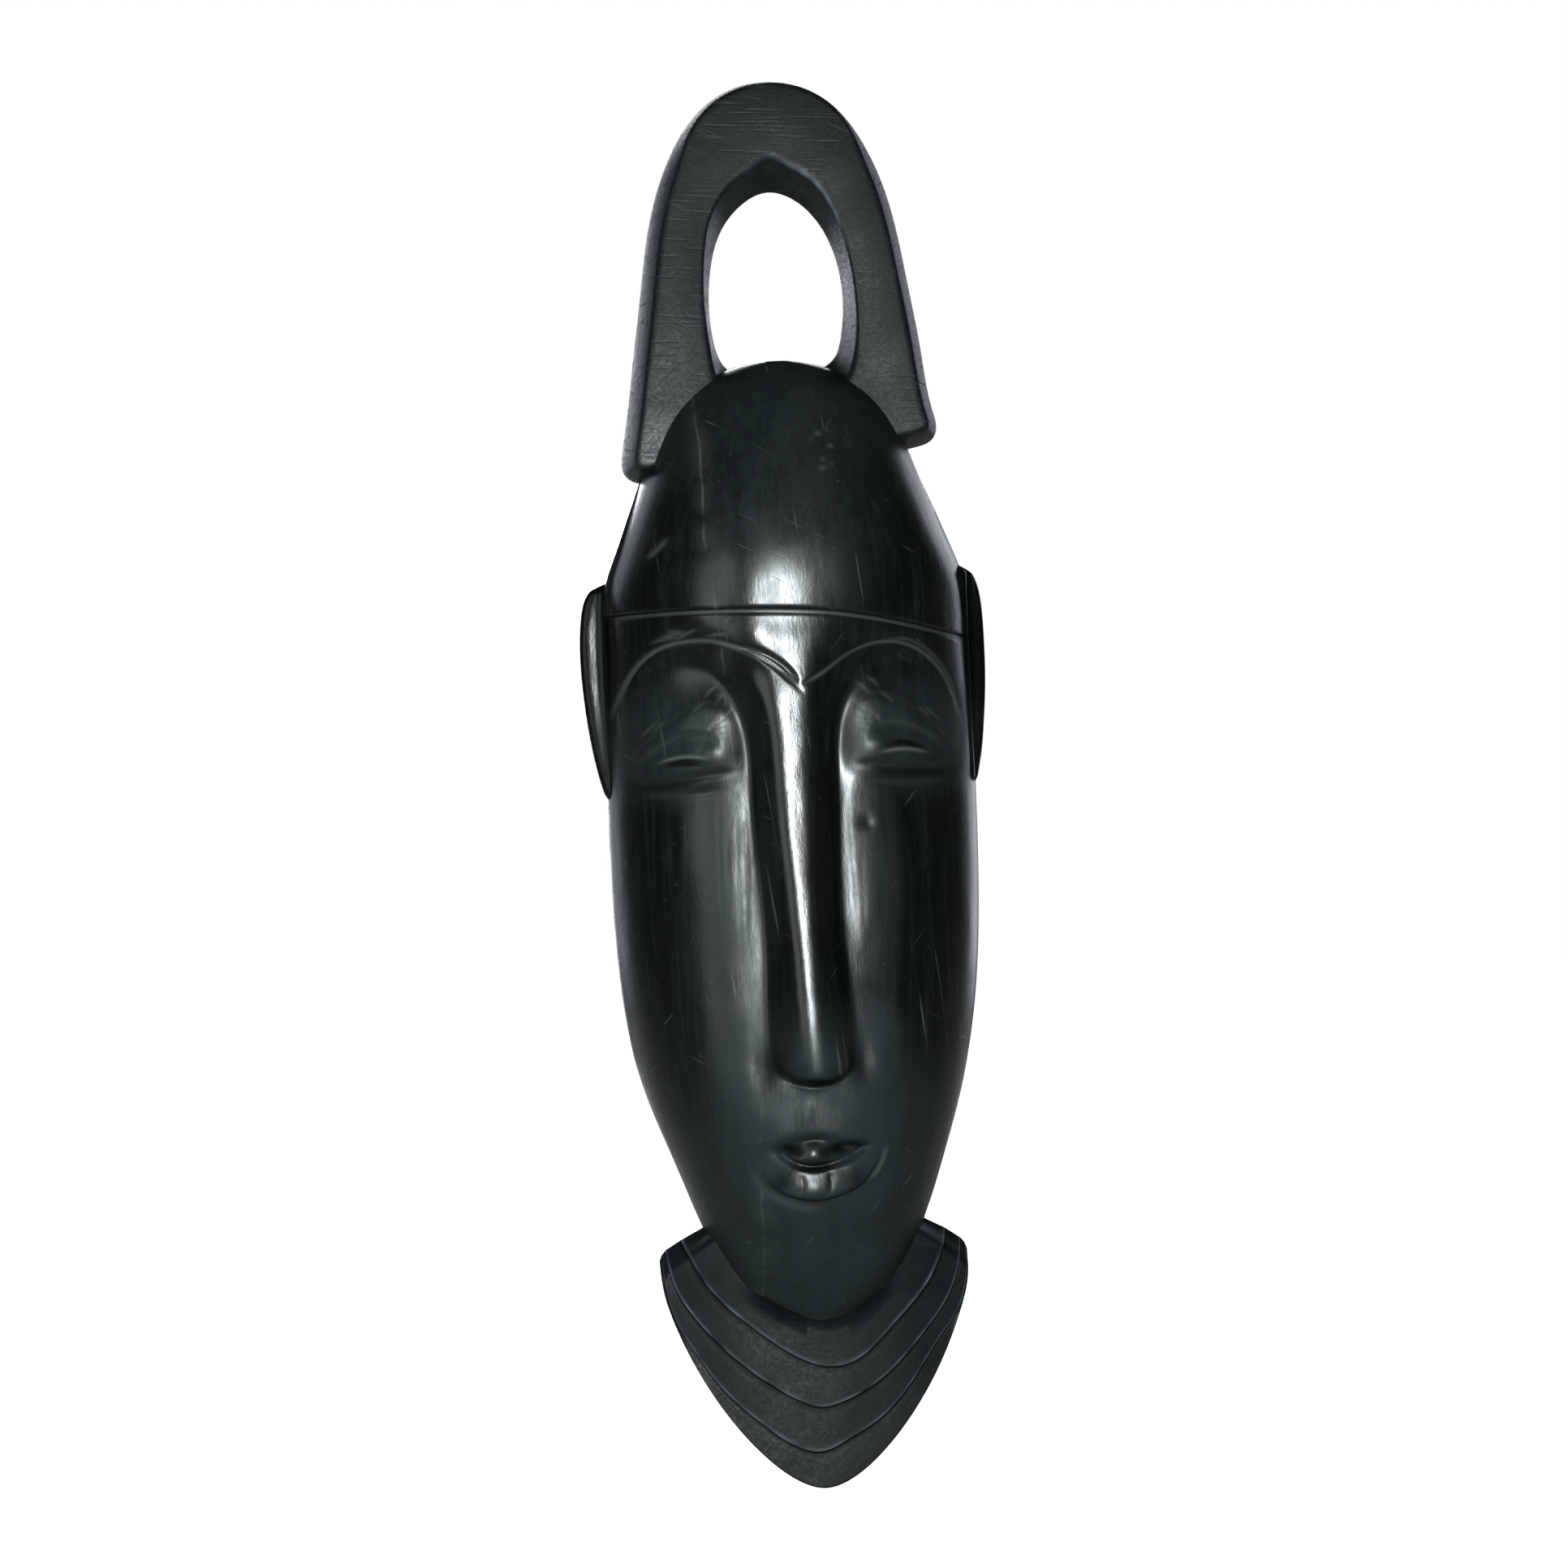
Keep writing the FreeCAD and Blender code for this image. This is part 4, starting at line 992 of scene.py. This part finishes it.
BAND_LEVEL, BAND_REACH = 250.0, 45.0


def face_warp(x, z):
    """Bends the face's upper rows of points, so that the last lies along the headband line."""
    return z + (HEADBAND(x) - BAND_LEVEL) * smooth((z - BAND_LEVEL + BAND_REACH) / BAND_REACH)


def cap_warp(x, z):
    """The same for the skull cap's lower rows."""
    return z + (HEADBAND(x) - BAND_LEVEL) * (1 - smooth((z - BAND_LEVEL) / BAND_REACH))


def make_face():
    levels = levels_between([(48.2, 75.0, 0.9), (75.0, 125.0, 0.5), (125.0, 195.0, 1.4),
                             (195.0, BAND_LEVEL, 0.5)])
    return head_piece("face", levels, face_warp, carved_face, POLISHED, "face")


def make_cap():
    levels = levels_between([(BAND_LEVEL, 254.0, 0.5), (254.0, 300.0, 1.2), (300.0, 319.4, 0.7)])
    return head_piece("skull_cap", levels, cap_warp, carved_cap, POLISHED, "skull_cap")


def finish_screw_eye():
    """The CAD model's own screw eye, in steel."""
    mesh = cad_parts["screw_eye"].data
    mesh.materials.clear()
    mesh.materials.append(plated_steel())


make_face()
make_cap()
make_crest()
make_ear("left_ear")
make_ear("right_ear")
make_collar()
finish_screw_eye()


# --- The stage ---------------------------------------------------------------------
def area_light(name, place, target, size, power, colour):
    light = bpy.data.lights.new(name, "AREA")
    light.shape = "DISK"
    light.size = size
    light.energy = power
    light.color = colour
    lamp = bpy.data.objects.new(name, light)
    bpy.context.scene.collection.objects.link(lamp)
    lamp.location = place
    lamp.visible_camera = False
    aim(lamp, target)


def aim(thing, target):
    """Turns a lamp or the camera to look at a point."""
    way = Vector(target) - thing.location
    thing.rotation_euler = way.to_track_quat("-Z", "Y").to_euler()


def seen_by_camera(tree, socket, otherwise, seen):
    """The stage is bright behind the object, and dim in what the object reflects."""
    ray = tree.nodes.new("ShaderNodeLightPath")
    strength = tree.nodes.new("ShaderNodeMapRange")
    strength.inputs["To Min"].default_value = otherwise
    strength.inputs["To Max"].default_value = seen
    tree.links.new(ray.outputs["Is Camera Ray"], strength.inputs["Value"])
    tree.links.new(strength.outputs["Result"], socket)


def make_floor():
    mesh = bpy.data.meshes.new("floor")
    reach = 6.0
    corners = [(-reach, -reach), (reach, -reach), (reach, reach), (-reach, reach)]
    mesh.from_pydata([(x, y, TIP) for x, y in corners], [], [(0, 1, 2, 3)])
    floor = bpy.data.objects.new("floor", mesh)
    bpy.context.scene.collection.objects.link(floor)
    material, tree, shader = material_with("pale_floor")
    seen_by_camera(tree, shader.inputs["Base Color"], 0.25, 0.85)
    shader.inputs["Roughness"].default_value = 0.9
    shader.inputs["Emission Color"].default_value = (1, 1, 1, 1)
    seen_by_camera(tree, shader.inputs["Emission Strength"], 0.04, 1.0)
    mesh.materials.append(material)


def make_world():
    world = bpy.data.worlds.new("studio")
    bpy.context.scene.world = world
    world.use_nodes = True
    tree = world.node_tree
    background = tree.nodes["Background"]
    background.inputs["Color"].default_value = (1, 1, 1, 1)
    seen_by_camera(tree, background.inputs["Strength"], 0.03, 1.0)


def make_lights():
    """A small key close to the camera, a soft fill from its left, and three behind."""
    middle = [(a + b) / 2 for a, b in zip(*CAD_BOX)]
    area_light("key", (-0.07, -1.05, middle[2] + 0.05), middle, 0.17, 10.5, (0.91, 1, 1))
    area_light("fill", (-0.9, -0.9, middle[2] + 0.15), middle, 0.7, 2.2, (0.91, 1, 1))
    area_light("behind", (-0.1, 1.6, middle[2] + 0.25), middle, 0.8, 13.0, (0.93, 0.98, 1))
    area_light("rim_left", (-1.1, 2.0, middle[2] + 0.3), middle, 1.2, 2.2, (0.85, 0.93, 1))
    area_light("rim_right", (1.1, 2.0, middle[2] + 0.3), middle, 1.2, 4.2, (0.85, 0.93, 1))


SENSOR_WIDTH = 36.0
PICTURE_HEIGHT = 0.4432  # metres across the picture at the mask


def make_camera():
    """Nearly frontal and far off, a little to the left, with the mask leaning right in the picture."""
    bpy.context.scene.view_settings.view_transform = "Standard"
    data = bpy.data.cameras.new("camera")
    camera = bpy.data.objects.new("camera", data)
    bpy.context.scene.collection.objects.link(camera)
    yaw, roll, distance = math.radians(-3.0), math.radians(-2.41), 2.5
    target = (-0.004, -0.02, TIP + 0.200)
    camera.location = (target[0] + distance * math.sin(yaw), target[1] - distance * math.cos(yaw), target[2])
    aim(camera, target)
    camera.rotation_euler.rotate_axis("Z", roll)
    data.sensor_width = SENSOR_WIDTH
    data.lens = SENSOR_WIDTH * distance / PICTURE_HEIGHT
    bpy.context.scene.camera = camera


make_floor()
make_world()
make_lights()
make_camera()
